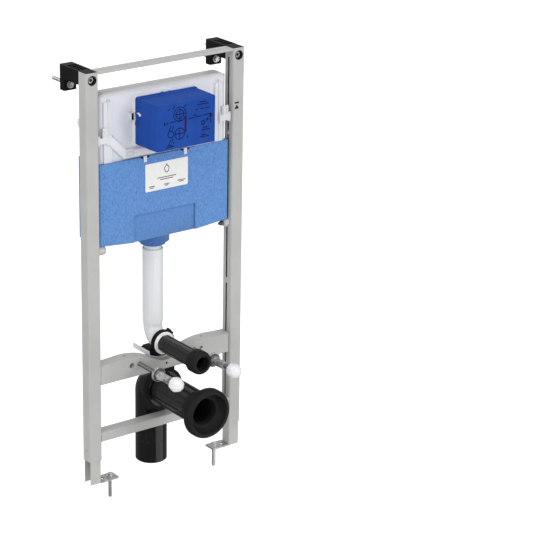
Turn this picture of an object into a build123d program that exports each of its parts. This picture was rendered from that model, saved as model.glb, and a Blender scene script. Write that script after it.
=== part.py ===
from build123d import *
import os
from math import cos, radians, sin

# Wall hung toilet frame. Millimetres, +X to the right seen from the pan, +Y towards the wall, +Z up.
# Everything is worked out from the floor, the middle plane and the posts' front faces.
# The files are written with the origin on the left wall bracket's back face.

# Frame
frame_width = 500.0
frame_height = 1150.0
post_size = 38.0
post_wall = 2.0
post_corner = 5.0
leg_extension = 68.0
leg_play = 0.5
leg_wall = 2.5
leg_length = 330.0
leg_fork_start = 148.0
fork_play = 1.0
lock_hole_r = 2.5
lock_hole_height = 30.0
half_width = frame_width / 2
inner_x = half_width - post_size
post_x = half_width - post_size / 2

# Long slot in each post's inner face, cut in three lengths
slot_width = 7.0
slot_y = 20.0
slot_bottom = 150.0
slot_first_bridge = 486.0
slot_first_bridge_height = 14.0
slot_second_bridge_from_top = 238.0
slot_second_bridge_height = 6.0
slot_top_land = 26.0

# Heights that the pan sets
stud_height = 322.0
flush_above_studs = 35.0
waste_below_studs = 100.0
stud_spacing = 180.0
hole_spacing = 230.0
hole_r = 6.5
centre_hole_r = 3.5
centre_hole_drop = 19.0
flush_height = stud_height + flush_above_studs
waste_height = stud_height - waste_below_studs

# Top rail and the two crossbars
rail_height = 6.0
rail_wall = 2.0
bar_below_studs = 34.0
bar_bottom = stud_height - bar_below_studs
bar_end_height = 54.5
bar_shoulder_rise = 3.5
bar_shoulder_from_post = 87.0
bar_shoulder_x = inner_x - bar_shoulder_from_post
bar_flank_drop = 7.0
bar_flank_x = 68.0
bar_saddle_drop = 29.5
bar_wall = 3.0
bar_bend = 9.0
bar_lip = 12.0
lower_bar_below_waste = 101.0
lower_bar_bottom = waste_height - lower_bar_below_waste
lower_bar_height = 28.0
lower_bar_depth = 32.0
lower_bar_wall = 2.5
lower_bar_bend = 4.0

# Foot plates and floor anchors
plate_length = 57.0
plate_thickness = 4.0
plate_corner = 3.0
anchor_from_leg = 40.0
anchor_r = 4.0
anchor_hole_play = 0.5
anchor_sleeve_r = 5.0
anchor_depth = 58.0
anchor_slit_height = 23.0
anchor_slit = 1.2
anchor_head_flats = 13.0
anchor_head_height = 7.0
washer_r = 10.5
washer_thickness = 1.5
plate_slot_length = 14.0
plate_slot_width = 8.0
plate_slot_from_leg = 14.0

# Wall brackets
bracket_back = 126.0
bracket_arm_height = 36.0
bracket_block_depth = 22.0
bracket_block_height = 68.0
bracket_above_post = 0.8
bracket_play = 0.3
bracket_corner = 2.0
adjust_height_from_top = 20.0
cup_hole_r = 13.0
cup_bore_r = 9.0
cup_depth = 6.0
adjust_head_r = 7.0
adjust_head_length = 8.0
adjust_screw_r = 4.0
adjust_screw_end = 22.0
bracket_pocket_depth = 3.0
bracket_pocket_count = 4
bracket_rib = 3.0
wall_screw_height_from_bottom = 15.0
wall_screw_r = 5.0
wall_screw_point = 2.0
wall_screw_end = 63.0
wall_screw_flats = 15.0
wall_screw_head = 6.5
screw_play = 0.5
bracket_top = frame_height + bracket_above_post
wall_screw_z = bracket_top - bracket_block_height + wall_screw_height_from_bottom
adjust_z = frame_height - adjust_height_from_top
origin = Vector(-post_x, bracket_back, (wall_screw_z + adjust_z) / 2)

# Cistern, hung below the top rail between the posts
tank_side_gap = 14.0
tank_half_width = inner_x - tank_side_gap
tank_front = 17.0
tank_back = 104.0
tank_below_rail = 64.0
tank_top = frame_height - rail_height - tank_below_rail
tank_height = 388.0
tank_bottom = tank_top - tank_height
tank_corner = 14.0
tank_slope_depth = 48.0
tank_slope_height = 46.0
tank_shoulder = 17.0
tank_top_round = 8.0
tank_bore_depth = 16.0
inlet_r = 18.0
inlet_height = 296.0
inlet_reach = 13.0
inlet_from_side = 18.0
rim_width = 26.0
rim_proud = 4.0
rim_round = 2.4
rim_below_top = 24.0
port_half_width = 95.0
port_height = 130.0
port_bottom = tank_bottom + 242.0
ridge_width = 17.0
ridge_proud = 6.0
ridge_height = 268.0
ridge_fall = 45.0
ridge_run = 14.5
ridge_slope = 38.0

# Insulation jacket round the tank's lower half
jacket_thickness = 9.0
jacket_half_width = tank_half_width + jacket_thickness
jacket_front = tank_front - jacket_thickness + 1
jacket_back = tank_back + jacket_thickness - 1
jacket_height = 222.0
jacket_end_drop = 16.0
jacket_end_bottom = tank_bottom - jacket_end_drop
jacket_top = jacket_end_bottom + jacket_height
jacket_middle_drop = 10.0
jacket_middle_bottom = jacket_end_bottom - jacket_middle_drop
jacket_middle_x = 96.0
jacket_play = 0.3
jacket_corner = 6.0
panel_half_width = 99.0
panel_height = 75.0
panel_depth = 5.0
outlet_r = 45.0
outlet_length = 34.0
outlet_bottom = jacket_middle_bottom - outlet_length
hook_x = 64.0
hook_width = 9.0
hook_height = 14.0
hook_thickness = 2.5

# Access shroud over the flush plate's opening
shroud_half_width = 92.0
shroud_height = 124.0
shroud_bottom = port_bottom + 4.0
shroud_front = -89.0
shroud_back = 5.0
shroud_wall = 2.5
shroud_flange = 1.5
shroud_flange_thickness = 3.0
shroud_corner = 3.0
ear_height = 12.0
ear_depth = 9.0
ear_reach = 5.0
ear_above_foot = 54.0
spring_width = 14.0
spring_height = 22.0
spring_above_foot = 65.0
spring_front = -4.0
spring_gap = 0.5
spring_hole_r = 4.0
lever_height = 8.0
lever_thickness = 2.0
lever_reach = 17.0

# Clips and stubs that hold the cistern in the posts
seat_gap = 0.3
cistern_clip_length = 38.0
cistern_clip_height = 48.0
cistern_clip_above_tank_foot = 256.0
cistern_clip_thickness = 7.0
cistern_clip_corner = 3.0
stub_r = 13.0
stub_edge = 1.5
stub_neck_r = 7.0
stub_collar = 14.0
stub_length = 40.0

# Flush pipe and its elbow
pipe_y = 68.0
pipe_r = 26.0
pipe_bore_r = 21.0
pipe_neck_r = 23.5
pipe_neck_below_outlet = 19.0
pipe_neck_bottom = outlet_bottom - pipe_neck_below_outlet
pipe_end_gap = 24.0
pipe_top = tank_bottom - pipe_end_gap
elbow_bend = 40.0
clamp_y = 20.0
clamp_width = 13.0
clamp_r = 35.0
clamp_web = 3.0
latch_angle = 50.0
latch_width = 9.0
latch_length = 18.0
ring_r = 30.5
ring_width = 7.0
connector_r = 22.5
connector_wall = 2.5
connector_rib = 2.0
connector_ribs = 8
connector_front = -150.0
cone_front = -168.0
cone_length = 36.0
cone_r = 32.5
cone_back_r = 29.0
cone_bore_r = 20.5
cone_nose_r = 25.0
cone_nose = 14.0
cone_corner = 3.0

# White cradle and black foot that carry the elbow on the crossbar
cradle_half_width = 45.0
cradle_front = 13.0
cradle_back = 98.0
cradle_wall = 2.5
cradle_below_pipe = 17.0
cradle_top = flush_height - cradle_below_pipe
foot_above_pipe_foot = 13.0
foot_top = flush_height - pipe_r + foot_above_pipe_foot
foot_edge = 6.5
foot_back = 64.0

# Waste bend, its clip, connector and seal
waste_y = 77.0
waste_r = 44.0
waste_wall = 3.5
waste_bottom = -8.0
waste_edge = 2.0
spigot_length = 60.0
spigot_groove = 3.0
spigot_groove_depth = 0.8
socket_r = 52.0
socket_front = 12.0
socket_length = 34.0
waste_clip_r = 60.0
waste_clip_width = 15.0
clip_lug_half_width = 34.0
clip_lug_thickness = 6.0
clip_lug_height = 20.0
waste_pipe_r = 42.0
waste_pipe_wall = 3.0
waste_rib = 3.0
waste_ribs = 12
waste_step_y = -8.0
waste_pipe_front = -152.0
seal_front = -194.0
seal_back = -140.0
seal_r = 69.0
seal_edge = 2.0
seal_rim = 16.0
seal_cuff = 4.0
seal_cuff_length = 8.0
seal_mouth_r = 60.0
seal_bore_r = 37.0
seal_funnel_depth = 26.0

# Pan studs with their sleeves, nuts and caps
stud_r = 6.0
stud_front = -172.0
stud_back = 18.0
sleeve_flange_r = 20.0
sleeve_flange = 4.0
sleeve_y = -88.0
sleeve_r = 11.0
sleeve_length = 56.0
nut_flats = 30.0
nut_length = 20.0
back_nut_flats = 19.0
back_nut_length = 8.0
cap_r = 21.0
cap_length = 40.0
cap_nose = 13.0
cap_back_round = 5.0
cap_bore_depth = 16.0
right_cap_out = 10.0
stud_play = 0.1


def block(x, y, z):
    """Box between pairs of limits on each axis."""
    size = [max(pair) - min(pair) for pair in (x, y, z)]
    middle = [sum(pair) / 2 for pair in (x, y, z)]
    return Pos(*middle) * Box(*size)


def rod(start, end, r):
    """Cylinder of radius r between two points along one axis."""
    a, b = Vector(*start), Vector(*end)
    return Plane(origin=a, z_dir=b - a) * extrude(Circle(r), (b - a).length)


def hexagon(start, end, flats):
    """Hexagonal prism between two points, flats apart across the hexagon."""
    a, b = Vector(*start), Vector(*end)
    section = RegularPolygon(flats / 2, 6, major_radius=False)
    return Plane(origin=a, z_dir=b - a) * extrude(section, (b - a).length)


def turned_face(face, x, z):
    """Solid turned about an axis along Y through x, z, from a face of radius and forward distance."""
    return Pos(x, 0, z) * (Rot(90, 0, 0) * revolve(Plane.XZ * face, Axis.Z, 360))


def turned(points, x, z):
    """The same from corner points of radius and Y."""
    return turned_face(make_face(Polyline(*[(r, -y) for r, y in points], close=True)), x, z)


def mirrored(shape):
    return shape.mirror(Plane.YZ)


def outline(points, y0, y1):
    """Closed outline in X and Z, carried from y0 to y1."""
    face = make_face(Polyline(*points, close=True))
    return Plane.XZ.offset(-y0) * extrude(face, -(y1 - y0))


def save(shape, node):
    solids = ShapeList(shape.solids())
    body = solids[0] if len(solids) == 1 else Compound(children=list(solids))
    body = Pos(*(-origin)) * body
    body.label = node
    export_step(body, f"parts/{node}.step")


def post():
    """Right post: rolled square tube with a slotted inner face, a cup hole and a notch for the arm."""
    height = frame_height - leg_extension
    outer = RectangleRounded(post_size, post_size, post_corner)
    inner_size = post_size - 2 * post_wall
    inner = RectangleRounded(inner_size, inner_size, post_corner - post_wall)
    tube = Pos(post_x, post_size / 2, leg_extension) * extrude(outer - inner, height)
    first_top = slot_first_bridge + slot_first_bridge_height
    second_bridge = frame_height - slot_second_bridge_from_top
    second_top = second_bridge + slot_second_bridge_height
    lengths = [
        (slot_bottom, slot_first_bridge),
        (first_top, second_bridge),
        (second_top, frame_height - slot_top_land),
    ]
    for low, high in lengths:
        slot = Plane.YZ * extrude(Rot(0, 0, 90) * SlotOverall(high - low, slot_width), post_wall * 3, both=True)
        tube -= Pos(inner_x, slot_y, (low + high) / 2) * slot
    tube -= rod((post_x, -1, adjust_z), (post_x, post_size / 2, adjust_z), cup_hole_r)
    notch_half = inner_size / 2
    notch_z = bracket_top - bracket_arm_height - bracket_play
    tube -= block(
        (post_x - notch_half, post_x + notch_half), (post_size / 2, post_size + 1), (notch_z, frame_height + 1)
    )
    lock_z = leg_extension + lock_hole_height
    tube -= rod((half_width + 1, slot_y, lock_z), (half_width - post_size / 2, slot_y, lock_z), lock_hole_r)
    return tube


def leg():
    """Right leg: channel that slides in the post, open to the outside, with a forked web."""
    size = post_size - 2 * (post_wall + leg_play)
    low_x = post_x - size / 2
    channel = block((low_x, low_x + size), (post_size / 2 - size / 2, post_size / 2 + size / 2), (0, leg_length))
    inner_corner = post_corner - post_wall
    channel = fillet(channel.edges().filter_by(Axis.Z), inner_corner)
    channel -= block(
        (low_x + leg_wall, low_x + size + 1),
        (post_size / 2 - size / 2 + leg_wall, post_size / 2 + size / 2 - leg_wall),
        (-1, leg_length + 1),
    )
    fork_width = slot_width + 2 * fork_play
    length = leg_length - leg_fork_start + fork_width
    fork = Plane.YZ * extrude(Rot(0, 0, 90) * SlotOverall(2 * length, fork_width), leg_wall * 2, both=True)
    return channel - Pos(low_x, slot_y, leg_fork_start + length) * fork


def leg_inner_x():
    return post_x - post_size / 2 + post_wall + leg_play


def foot_plate():
    """Right foot plate: floor flange welded to the leg's web, with an anchor hole and a slot."""
    end = leg_inner_x()
    plate = block((end - plate_length, end), (0, post_size), (0, plate_thickness))
    corners = plate.edges().filter_by(Axis.Z).sort_by(Axis.X)[:2]
    plate = fillet(corners, plate_corner)
    hole_x = end - anchor_from_leg
    plate -= rod((hole_x, slot_y, -1), (hole_x, slot_y, plate_thickness + 1), anchor_sleeve_r + anchor_hole_play)
    slot = extrude(Rot(0, 0, 90) * SlotOverall(plate_slot_length, plate_slot_width), plate_thickness * 2, both=True)
    return plate - Pos(end - plate_slot_from_leg, slot_y, 0) * slot


def floor_anchor():
    """Right anchor: hexagon head on a washer, shank through the plate and a slit expansion sleeve."""
    x = leg_inner_x() - anchor_from_leg
    washer_top = plate_thickness + washer_thickness
    anchor = rod((x, slot_y, -anchor_depth), (x, slot_y, washer_top), anchor_r)
    anchor += rod((x, slot_y, plate_thickness), (x, slot_y, washer_top), washer_r)
    anchor += hexagon((x, slot_y, washer_top), (x, slot_y, washer_top + anchor_head_height), anchor_head_flats)
    sleeve_top = -plate_thickness / 2
    sleeve = rod((x, slot_y, -anchor_depth), (x, slot_y, sleeve_top), anchor_sleeve_r)
    sleeve = chamfer(sleeve.edges().group_by(Axis.Z)[0], (anchor_sleeve_r - anchor_r) / 2)
    anchor += sleeve
    slit = block(
        (x - anchor_sleeve_r - 1, x + anchor_sleeve_r + 1),
        (slot_y - anchor_slit / 2, slot_y + anchor_slit / 2),
        (-anchor_depth - 1, -anchor_depth + anchor_slit_height),
    )
    return anchor - (slit - rod((x, slot_y, -anchor_depth - 1), (x, slot_y, 0), anchor_r))


def top_rail():
    """Shallow channel, open below, between the tops of the posts."""
    rail = block((-inner_x, inner_x), (0, post_size), (frame_height - rail_height, frame_height))
    rail = fillet(rail.edges().filter_by(Axis.X).group_by(Axis.Z)[-1], rail_wall)
    hollow = block(
        (-inner_x, inner_x),
        (rail_wall, post_size - rail_wall),
        (frame_height - rail_height - 1, frame_height - rail_wall),
    )
    return rail - hollow


def bar_profile(inset, low):
    """Front outline of the support crossbar: straight below, raised shoulders and a middle saddle."""
    end_z = bar_bottom + bar_end_height - inset
    shoulder_z = end_z + bar_shoulder_rise
    flank_z = end_z - bar_flank_drop
    top = Spline(
        (inner_x, end_z),
        (bar_shoulder_x, shoulder_z),
        (bar_flank_x, flank_z),
        (0, end_z - bar_saddle_drop),
        (-bar_flank_x, flank_z),
        (-bar_shoulder_x, shoulder_z),
        (-inner_x, end_z),
        tangents=[(-1, 0), (-1, 0)],
    )
    low_z = bar_bottom + low
    sides = Polyline((-inner_x, end_z), (-inner_x, low_z), (inner_x, low_z), (inner_x, end_z))
    return make_face(top + sides)


def support_crossbar():
    """Pressed channel that carries the pan: rolled top flange over a curved edge, lip below, open behind."""
    bar = Plane.XZ * extrude(bar_profile(0, 0), -post_size)
    top_front = bar.faces().sort_by(Axis.Y)[0].edges().sort_by(Axis.Z)[-1]
    bar = fillet(top_front, bar_bend)
    hollow = Plane.XZ.offset(-bar_wall) * extrude(bar_profile(bar_wall, bar_wall), -post_size)
    hollow_front = hollow.faces().sort_by(Axis.Y)[0].edges().sort_by(Axis.Z)[-1]
    hollow = fillet(hollow_front, bar_bend - bar_wall)
    bar -= hollow
    bar -= block((-inner_x, inner_x), (bar_lip, post_size + 1), (bar_bottom - 1, bar_bottom + bar_wall + 1))
    for side in (-1, 1):
        hole_x = side * hole_spacing / 2
        bar -= rod((hole_x, -1, stud_height), (hole_x, bar_wall + 2, stud_height), hole_r)
        stud_x = side * stud_spacing / 2
        bar -= rod((stud_x, -1, stud_height), (stud_x, bar_wall + 2, stud_height), stud_r + stud_play)
    centre_z = stud_height - centre_hole_drop
    bar -= rod((0, -1, centre_z), (0, bar_wall + 2, centre_z), centre_hole_r)
    return bar


def lower_crossbar():
    """Plain channel between the posts below the waste connector, open behind."""
    top = lower_bar_bottom + lower_bar_height
    bar = block((-inner_x, inner_x), (0, lower_bar_depth), (lower_bar_bottom, top))
    bar = fillet(bar.edges().filter_by(Axis.X).group_by(Axis.Y)[0], lower_bar_bend)
    hollow = block(
        (-inner_x, inner_x),
        (lower_bar_wall, lower_bar_depth + 1),
        (lower_bar_bottom + lower_bar_wall, top - lower_bar_wall),
    )
    hollow = fillet(hollow.edges().filter_by(Axis.X).group_by(Axis.Y)[0], lower_bar_bend - lower_bar_wall)
    return bar - hollow


def wall_bracket():
    """Right bracket: cap in the post's top, arm back to the wall and a block turned down for the wall screw."""
    half = post_size / 2
    arm_low = bracket_top - bracket_arm_height
    arm = block((post_x - half, half_width), (post_size + bracket_play, bracket_back), (arm_low, bracket_top))
    drop = block(
        (post_x - half, half_width),
        (bracket_back - bracket_block_depth, bracket_back),
        (bracket_top - bracket_block_height, bracket_top),
    )
    body = fillet((arm + drop).edges().filter_by(Axis.Z), bracket_corner)
    fit = post_size / 2 - post_wall - bracket_play
    cap = block((post_x - fit, post_x + fit), (post_wall + bracket_play, post_size), (arm_low, bracket_top))
    cap = fillet(cap.edges().filter_by(Axis.Z).group_by(Axis.Y)[0], post_corner - post_wall)
    neck_back = post_size + bracket_corner + 2
    neck = block((post_x - fit, post_x + fit), (post_size / 2, neck_back), (arm_low, bracket_top))
    body = body + cap + neck
    body -= rod((post_x, 0, adjust_z), (post_x, cup_depth + adjust_head_length + post_wall, adjust_z), cup_bore_r)
    body -= rod((post_x, 0, adjust_z), (post_x, bracket_back + 1, adjust_z), adjust_screw_r + screw_play)
    body -= rod(
        (post_x, bracket_back - bracket_block_depth - 1, wall_screw_z),
        (post_x, bracket_back + 1, wall_screw_z),
        wall_screw_r + screw_play,
    )
    return body - bracket_pockets()


def bracket_pockets():
    """Row of shallow pockets in the arm's top, with ribs left between them."""
    start = post_size + bracket_corner + 4
    span = bracket_back - bracket_block_depth - start
    pitch = span / bracket_pocket_count
    half = post_size / 2 - 2 * bracket_rib
    pockets = []
    for step in range(bracket_pocket_count):
        low = start + step * pitch
        pockets.append(
            block(
                (post_x - half, post_x + half),
                (low, low + pitch - bracket_rib),
                (bracket_top - bracket_pocket_depth, bracket_top + 1),
            )
        )
    return pockets


def adjusting_screw():
    """Right depth screw: socket head sunk in the cup, shank through the arm, end behind the block."""
    head_front = cup_depth + post_wall
    head_back = head_front + adjust_head_length
    screw = rod((post_x, head_front, adjust_z), (post_x, head_back, adjust_z), adjust_head_r)
    screw += rod((post_x, head_back, adjust_z), (post_x, bracket_back + adjust_screw_end, adjust_z), adjust_screw_r)
    socket_depth = adjust_head_length / 2
    return screw - hexagon(
        (post_x, head_front - 1, adjust_z), (post_x, head_front + socket_depth, adjust_z), adjust_head_r
    )


def wall_screw():
    """Right wall screw: hexagon head on a washer in front of the block, point behind the wall face."""
    face = bracket_back - bracket_block_depth
    washer_front = face - washer_thickness
    screw = rod((post_x, washer_front, wall_screw_z), (post_x, face, wall_screw_z), washer_r)
    screw += hexagon(
        (post_x, washer_front - wall_screw_head, wall_screw_z), (post_x, washer_front, wall_screw_z), wall_screw_flats
    )
    shank = rod((post_x, face, wall_screw_z), (post_x, bracket_back + wall_screw_end, wall_screw_z), wall_screw_r)
    shank = chamfer(shank.edges().group_by(Axis.Y)[-1], wall_screw_point)
    return screw + shank


def cistern():
    """White tank: rounded box with raised side rims, a port frame and a conduit ridge on its front."""
    half = tank_half_width
    side_view = Polyline(
        (tank_front, tank_bottom),
        (tank_front, tank_top),
        (tank_back - tank_slope_depth, tank_top),
        (tank_back, tank_top - tank_slope_height),
        (tank_back, tank_bottom),
        close=True,
    )
    tank = Plane.YZ.offset(-half) * extrude(make_face(side_view), 2 * half)
    front_view = [
        (-half, tank_bottom),
        (-half, tank_top - tank_shoulder / 2),
        (-half + tank_shoulder, tank_top),
        (half - tank_shoulder, tank_top),
        (half, tank_top - tank_shoulder / 2),
        (half, tank_bottom),
    ]
    tank = tank & outline(front_view, tank_front - 1, tank_back + 1)
    tank = fillet(tank.edges().filter_by(Axis.Z), tank_corner)
    tank = fillet(tank.faces().sort_by(Axis.Z)[-1].edges(), tank_top_round)
    rim_low = jacket_top + jacket_play
    rim_high = tank_top - rim_below_top
    for side in (-1, 1):
        outer = side * (half - tank_corner)
        rim = block((outer - side * rim_width, outer), (tank_front - rim_proud, tank_front + 1), (rim_low, rim_high))
        tank += fillet(rim.edges().filter_by(Axis.Z).group_by(Axis.Y)[0], rim_round)
    port = block(
        (-port_half_width, port_half_width),
        (shroud_back, tank_front + 1),
        (port_bottom, port_bottom + port_height),
    )
    tank += fillet(port.edges().filter_by(Axis.Y), shroud_corner)
    tank += conduit_ridge()
    inlet_x = -half + inlet_from_side
    inlet_z = tank_bottom + inlet_height
    tank += rod((inlet_x, tank_back - 1, inlet_z), (inlet_x, tank_back + inlet_reach, inlet_z), inlet_r)
    return tank - rod((0, pipe_y, tank_bottom - 1), (0, pipe_y, tank_bottom + tank_bore_depth), pipe_neck_r + seat_gap)


def conduit_ridge():
    """Moulded conduit that falls from the left rim and runs on under the port."""
    start = inner_x - cistern_clip_length - ridge_width / 2 - 1
    top = tank_bottom + ridge_height
    bend_x = start - ridge_run
    path = Polyline(
        (-start, top),
        (-bend_x, top),
        (ridge_slope - bend_x, top - ridge_fall),
        (port_half_width, top - ridge_fall),
    )
    band = offset(path, amount=ridge_width / 2, kind=Kind.ARC, side=Side.BOTH)
    face = make_face(band) if not isinstance(band, Sketch) else band
    return Plane.XZ.offset(-(tank_front + 1)) * extrude(face, ridge_proud + 1)


def insulation_jacket():
    """Foam jacket round the lower tank, with a sunk front panel and an outlet collar below."""
    half = jacket_half_width
    shell = outline(
        [
            (-half, jacket_top),
            (-half, jacket_end_bottom),
            (-jacket_middle_x, jacket_middle_bottom),
            (jacket_middle_x, jacket_middle_bottom),
            (half, jacket_end_bottom),
            (half, jacket_top),
        ],
        jacket_front,
        jacket_back,
    )
    shell = fillet(shell.edges().filter_by(Axis.Z), jacket_corner)
    tank = block(
        (-tank_half_width - jacket_play, tank_half_width + jacket_play),
        (tank_front - jacket_play, tank_back + jacket_play),
        (tank_bottom - jacket_play, jacket_top + 1),
    )
    shell -= fillet(tank.edges().filter_by(Axis.Z), tank_corner)
    shell += rod((0, pipe_y, outlet_bottom), (0, pipe_y, jacket_middle_bottom + 1), outlet_r)
    shell -= block(
        (-panel_half_width, panel_half_width),
        (jacket_front - 1, jacket_front + panel_depth),
        (jacket_middle_bottom - 1, jacket_middle_bottom + panel_height),
    )
    return shell - rod((0, pipe_y, outlet_bottom - 1), (0, pipe_y, tank_bottom + 1), pipe_neck_r + seat_gap)


def jacket_hooks():
    """Two white tabs of the tank that lap over the jacket's top edge."""
    front = jacket_front - jacket_play
    hooks = []
    for side in (-1, 1):
        x = side * hook_x
        width = (x - hook_width / 2, x + hook_width / 2)
        tab = block(width, (front - hook_thickness, front), (jacket_top - hook_height, jacket_top + hook_thickness))
        top = block(width, (front - hook_thickness, tank_front), (jacket_top + jacket_play, jacket_top + hook_thickness))
        hooks.append(tab + top)
    return Compound(children=hooks)


def access_shroud():
    """Blue cover over the flush plate's opening: closed box with a flange at its foot and two clip ears."""
    top = shroud_bottom + shroud_height
    half = shroud_half_width
    cover = block((-half, half), (shroud_front, shroud_back), (shroud_bottom, top))
    cover = fillet(cover.edges().filter_by(Axis.Y), shroud_corner)
    cover = fillet(cover.edges().group_by(Axis.Y)[0], shroud_corner / 2)
    reach = half + shroud_flange
    flange = block(
        (-reach, reach),
        (shroud_back - shroud_flange_thickness, shroud_back),
        (shroud_bottom - shroud_flange, top + shroud_flange),
    )
    flange = fillet(flange.edges().filter_by(Axis.Y), shroud_corner)
    cover += flange
    ear_z = shroud_bottom + ear_above_foot
    for side in (-1, 1):
        ear = block(
            (side * half, side * (reach + ear_reach)),
            (shroud_back - ear_depth, shroud_back),
            (ear_z - ear_height / 2, ear_z + ear_height / 2),
        )
        cover += fillet(ear.edges().filter_by(Axis.Y), shroud_corner)
    hollow = block(
        (-half + shroud_wall, half - shroud_wall),
        (shroud_front + shroud_wall, shroud_back + 1),
        (shroud_bottom + shroud_wall, top - shroud_wall),
    )
    return cover - fillet(hollow.edges().filter_by(Axis.Y), shroud_corner / 2)


def shroud_clips():
    """White spring blocks on the tank beside the shroud, each with a lever along its side."""
    start = port_half_width + spring_gap
    low_x = shroud_half_width + seat_gap
    spring_bottom = shroud_bottom + spring_above_foot
    middle = spring_bottom + spring_height / 2
    lever_z = (middle - lever_height / 2, middle + lever_height / 2)
    hole_x = start + spring_width / 2
    heights = (spring_bottom, spring_bottom + spring_height)
    body = block((start, start + spring_width), (spring_front, tank_front), heights)
    body -= rod((hole_x, spring_front - 1, middle), (hole_x, 0, middle), spring_hole_r)
    lever_back = spring_front + lever_thickness
    cross = block((low_x, start + 1), (spring_front, lever_back), lever_z)
    lever = block((low_x, low_x + lever_thickness), (spring_front - lever_reach, lever_back), lever_z)
    clip = body + cross + lever
    return Compound(children=[clip, mirrored(clip)])


def cistern_clip():
    """Right clip: white plate from the tank's front rim to the post's slot, with a stepped hook."""
    low = tank_bottom + cistern_clip_above_tank_foot
    high = low + cistern_clip_height
    front = tank_front - rim_proud
    plate = block(
        (inner_x - cistern_clip_length, inner_x),
        (front - cistern_clip_thickness, front),
        (low, high),
    )
    plate = fillet(plate.edges().filter_by(Axis.Y), cistern_clip_corner)
    third = cistern_clip_height / 3
    hook = block(
        (inner_x - cistern_clip_thickness, inner_x),
        (front - 1, slot_y + slot_width / 2 - seat_gap),
        (low + third, high - third),
    )
    return plate + hook


def support_stub():
    """Right stub: stepped round seat screwed to the post's slot, under the jacket's corner."""
    slope = jacket_middle_drop / (jacket_half_width - jacket_middle_x)
    fall = (jacket_half_width - inner_x + stub_collar) * slope
    z = jacket_end_bottom - fall - seat_gap - stub_r
    stub = rod((inner_x, slot_y, z), (inner_x - stub_collar, slot_y, z), stub_r)
    stub = chamfer(stub.edges().group_by(Axis.X)[0], stub_edge)
    return stub + rod((inner_x, slot_y, z), (inner_x - stub_length, slot_y, z), stub_neck_r)


def elbow_tube(r, top_z, end_y):
    """Upright tube that turns forward through a quarter bend, solid, of radius r."""
    upright = rod((0, pipe_y, flush_height + elbow_bend), (0, pipe_y, top_z), r)
    centre = Vector(0, pipe_y - elbow_bend, flush_height + elbow_bend)
    ring = Plane(origin=(0, pipe_y, flush_height + elbow_bend)) * Circle(r)
    bend = revolve(ring, Axis(centre, (1, 0, 0)), -90)
    level = rod((0, pipe_y - elbow_bend, flush_height), (0, end_y, flush_height), r)
    return upright + bend + level


def flush_pipe():
    """White flush pipe with a narrow neck in the outlet and a bend at its foot."""
    end = clamp_y + clamp_width / 2
    pipe = elbow_tube(pipe_r, pipe_neck_bottom, end)
    pipe += rod((0, pipe_y, pipe_neck_bottom), (0, pipe_y, pipe_top), pipe_neck_r)
    return pipe - elbow_tube(pipe_bore_r, pipe_top + 1, end - 1)


def flush_clamp():
    """Black ring that locks the connector to the elbow, with a latch block on its upper right."""
    front, back = clamp_y - clamp_width / 2, clamp_y + clamp_width / 2
    grip = connector_r + connector_rib / 2
    points = [
        (ring_r, front),
        (clamp_r, front),
        (clamp_r, back),
        (grip, back),
        (grip, back - clamp_web),
        (ring_r, back - clamp_web),
    ]
    angle = radians(latch_angle)
    x, z = clamp_r * cos(angle), flush_height + clamp_r * sin(angle)
    latch = Pos(x, clamp_y, z) * Rot(0, latch_angle - 90, 0) * Box(latch_width, clamp_width, latch_length)
    latch -= rod((0, front - 1, flush_height), (0, back + 1, flush_height), (clamp_r + ring_r) / 2)
    return turned(points, 0, flush_height) + latch


def flush_seal_ring():
    """White lip ring in the clamp round the black connector."""
    front = clamp_y - clamp_width / 2
    inner = connector_r + connector_rib + seat_gap
    return turned([(inner, front), (ring_r, front), (ring_r, front + ring_width), (inner, front + ring_width)],
                  0, flush_height)


def ribbed_tube(r, wall, rib, count, front, back, z):
    """Tube along Y with long ribs round it."""
    tube = rod((0, back, z), (0, front, z), r)
    for step in range(count):
        turn = 360 / count * (step + 0.5)
        fin = block((-rib, rib), (front, back), (r - 1, r + rib))
        tube += Pos(0, 0, z) * Rot(0, turn, 0) * fin
    return tube - rod((0, back + 1, z), (0, front - 1, z), r - wall)


def flush_connector():
    """Black ribbed pipe between the flush elbow and the pan."""
    back = clamp_y + clamp_width / 2 - clamp_web
    start = clamp_y - clamp_width / 2
    inner = connector_r - connector_wall
    pipe = ribbed_tube(connector_r, connector_wall, connector_rib, connector_ribs,
                       connector_front, start, flush_height)
    tail = rod((0, start, flush_height), (0, back, flush_height), connector_r)
    return pipe + (tail - rod((0, start - 1, flush_height), (0, back + 1, flush_height), inner))


def flush_cone_seal():
    """Rubber cone on the connector's front end, with a rounded nose round the bore."""
    back = cone_front + cone_length
    grip = connector_r + connector_rib + seat_gap
    seat = connector_front - seat_gap
    nose = EllipticalCenterArc(
        (cone_nose_r, -(cone_front + cone_nose)), cone_r - cone_nose_r, cone_nose, start_angle=0, arc_size=90
    )
    sides = Polyline(
        (cone_nose_r, -cone_front),
        (cone_bore_r, -cone_front),
        (cone_bore_r, -seat),
        (grip, -seat),
        (grip, -back),
        (cone_back_r, -back),
        (cone_r, -(back - cone_corner)),
        (cone_r, -(cone_front + cone_nose)),
    )
    return turned_face(make_face(nose + sides), 0, flush_height)


def elbow_support():
    """White cradle on the crossbar's saddle: floor that follows the saddle, and two side walls."""
    depth = cradle_back - cradle_front
    above = bar_profile(-seat_gap, 0)
    reach = (-cradle_half_width, cradle_half_width)
    body = block(reach, (cradle_front, cradle_back), (bar_bottom, cradle_top))
    body -= Plane.XZ.offset(-cradle_front) * extrude(above, -depth)
    inner = block((reach[0] + cradle_wall, reach[1] - cradle_wall), (cradle_front - 1, cradle_back + 1),
                  (bar_bottom, cradle_top + 1))
    inner -= Plane.XZ.offset(-(cradle_front - 1)) * extrude(bar_profile(-seat_gap - cradle_wall, 0), -(depth + 2))
    return body - inner


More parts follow.
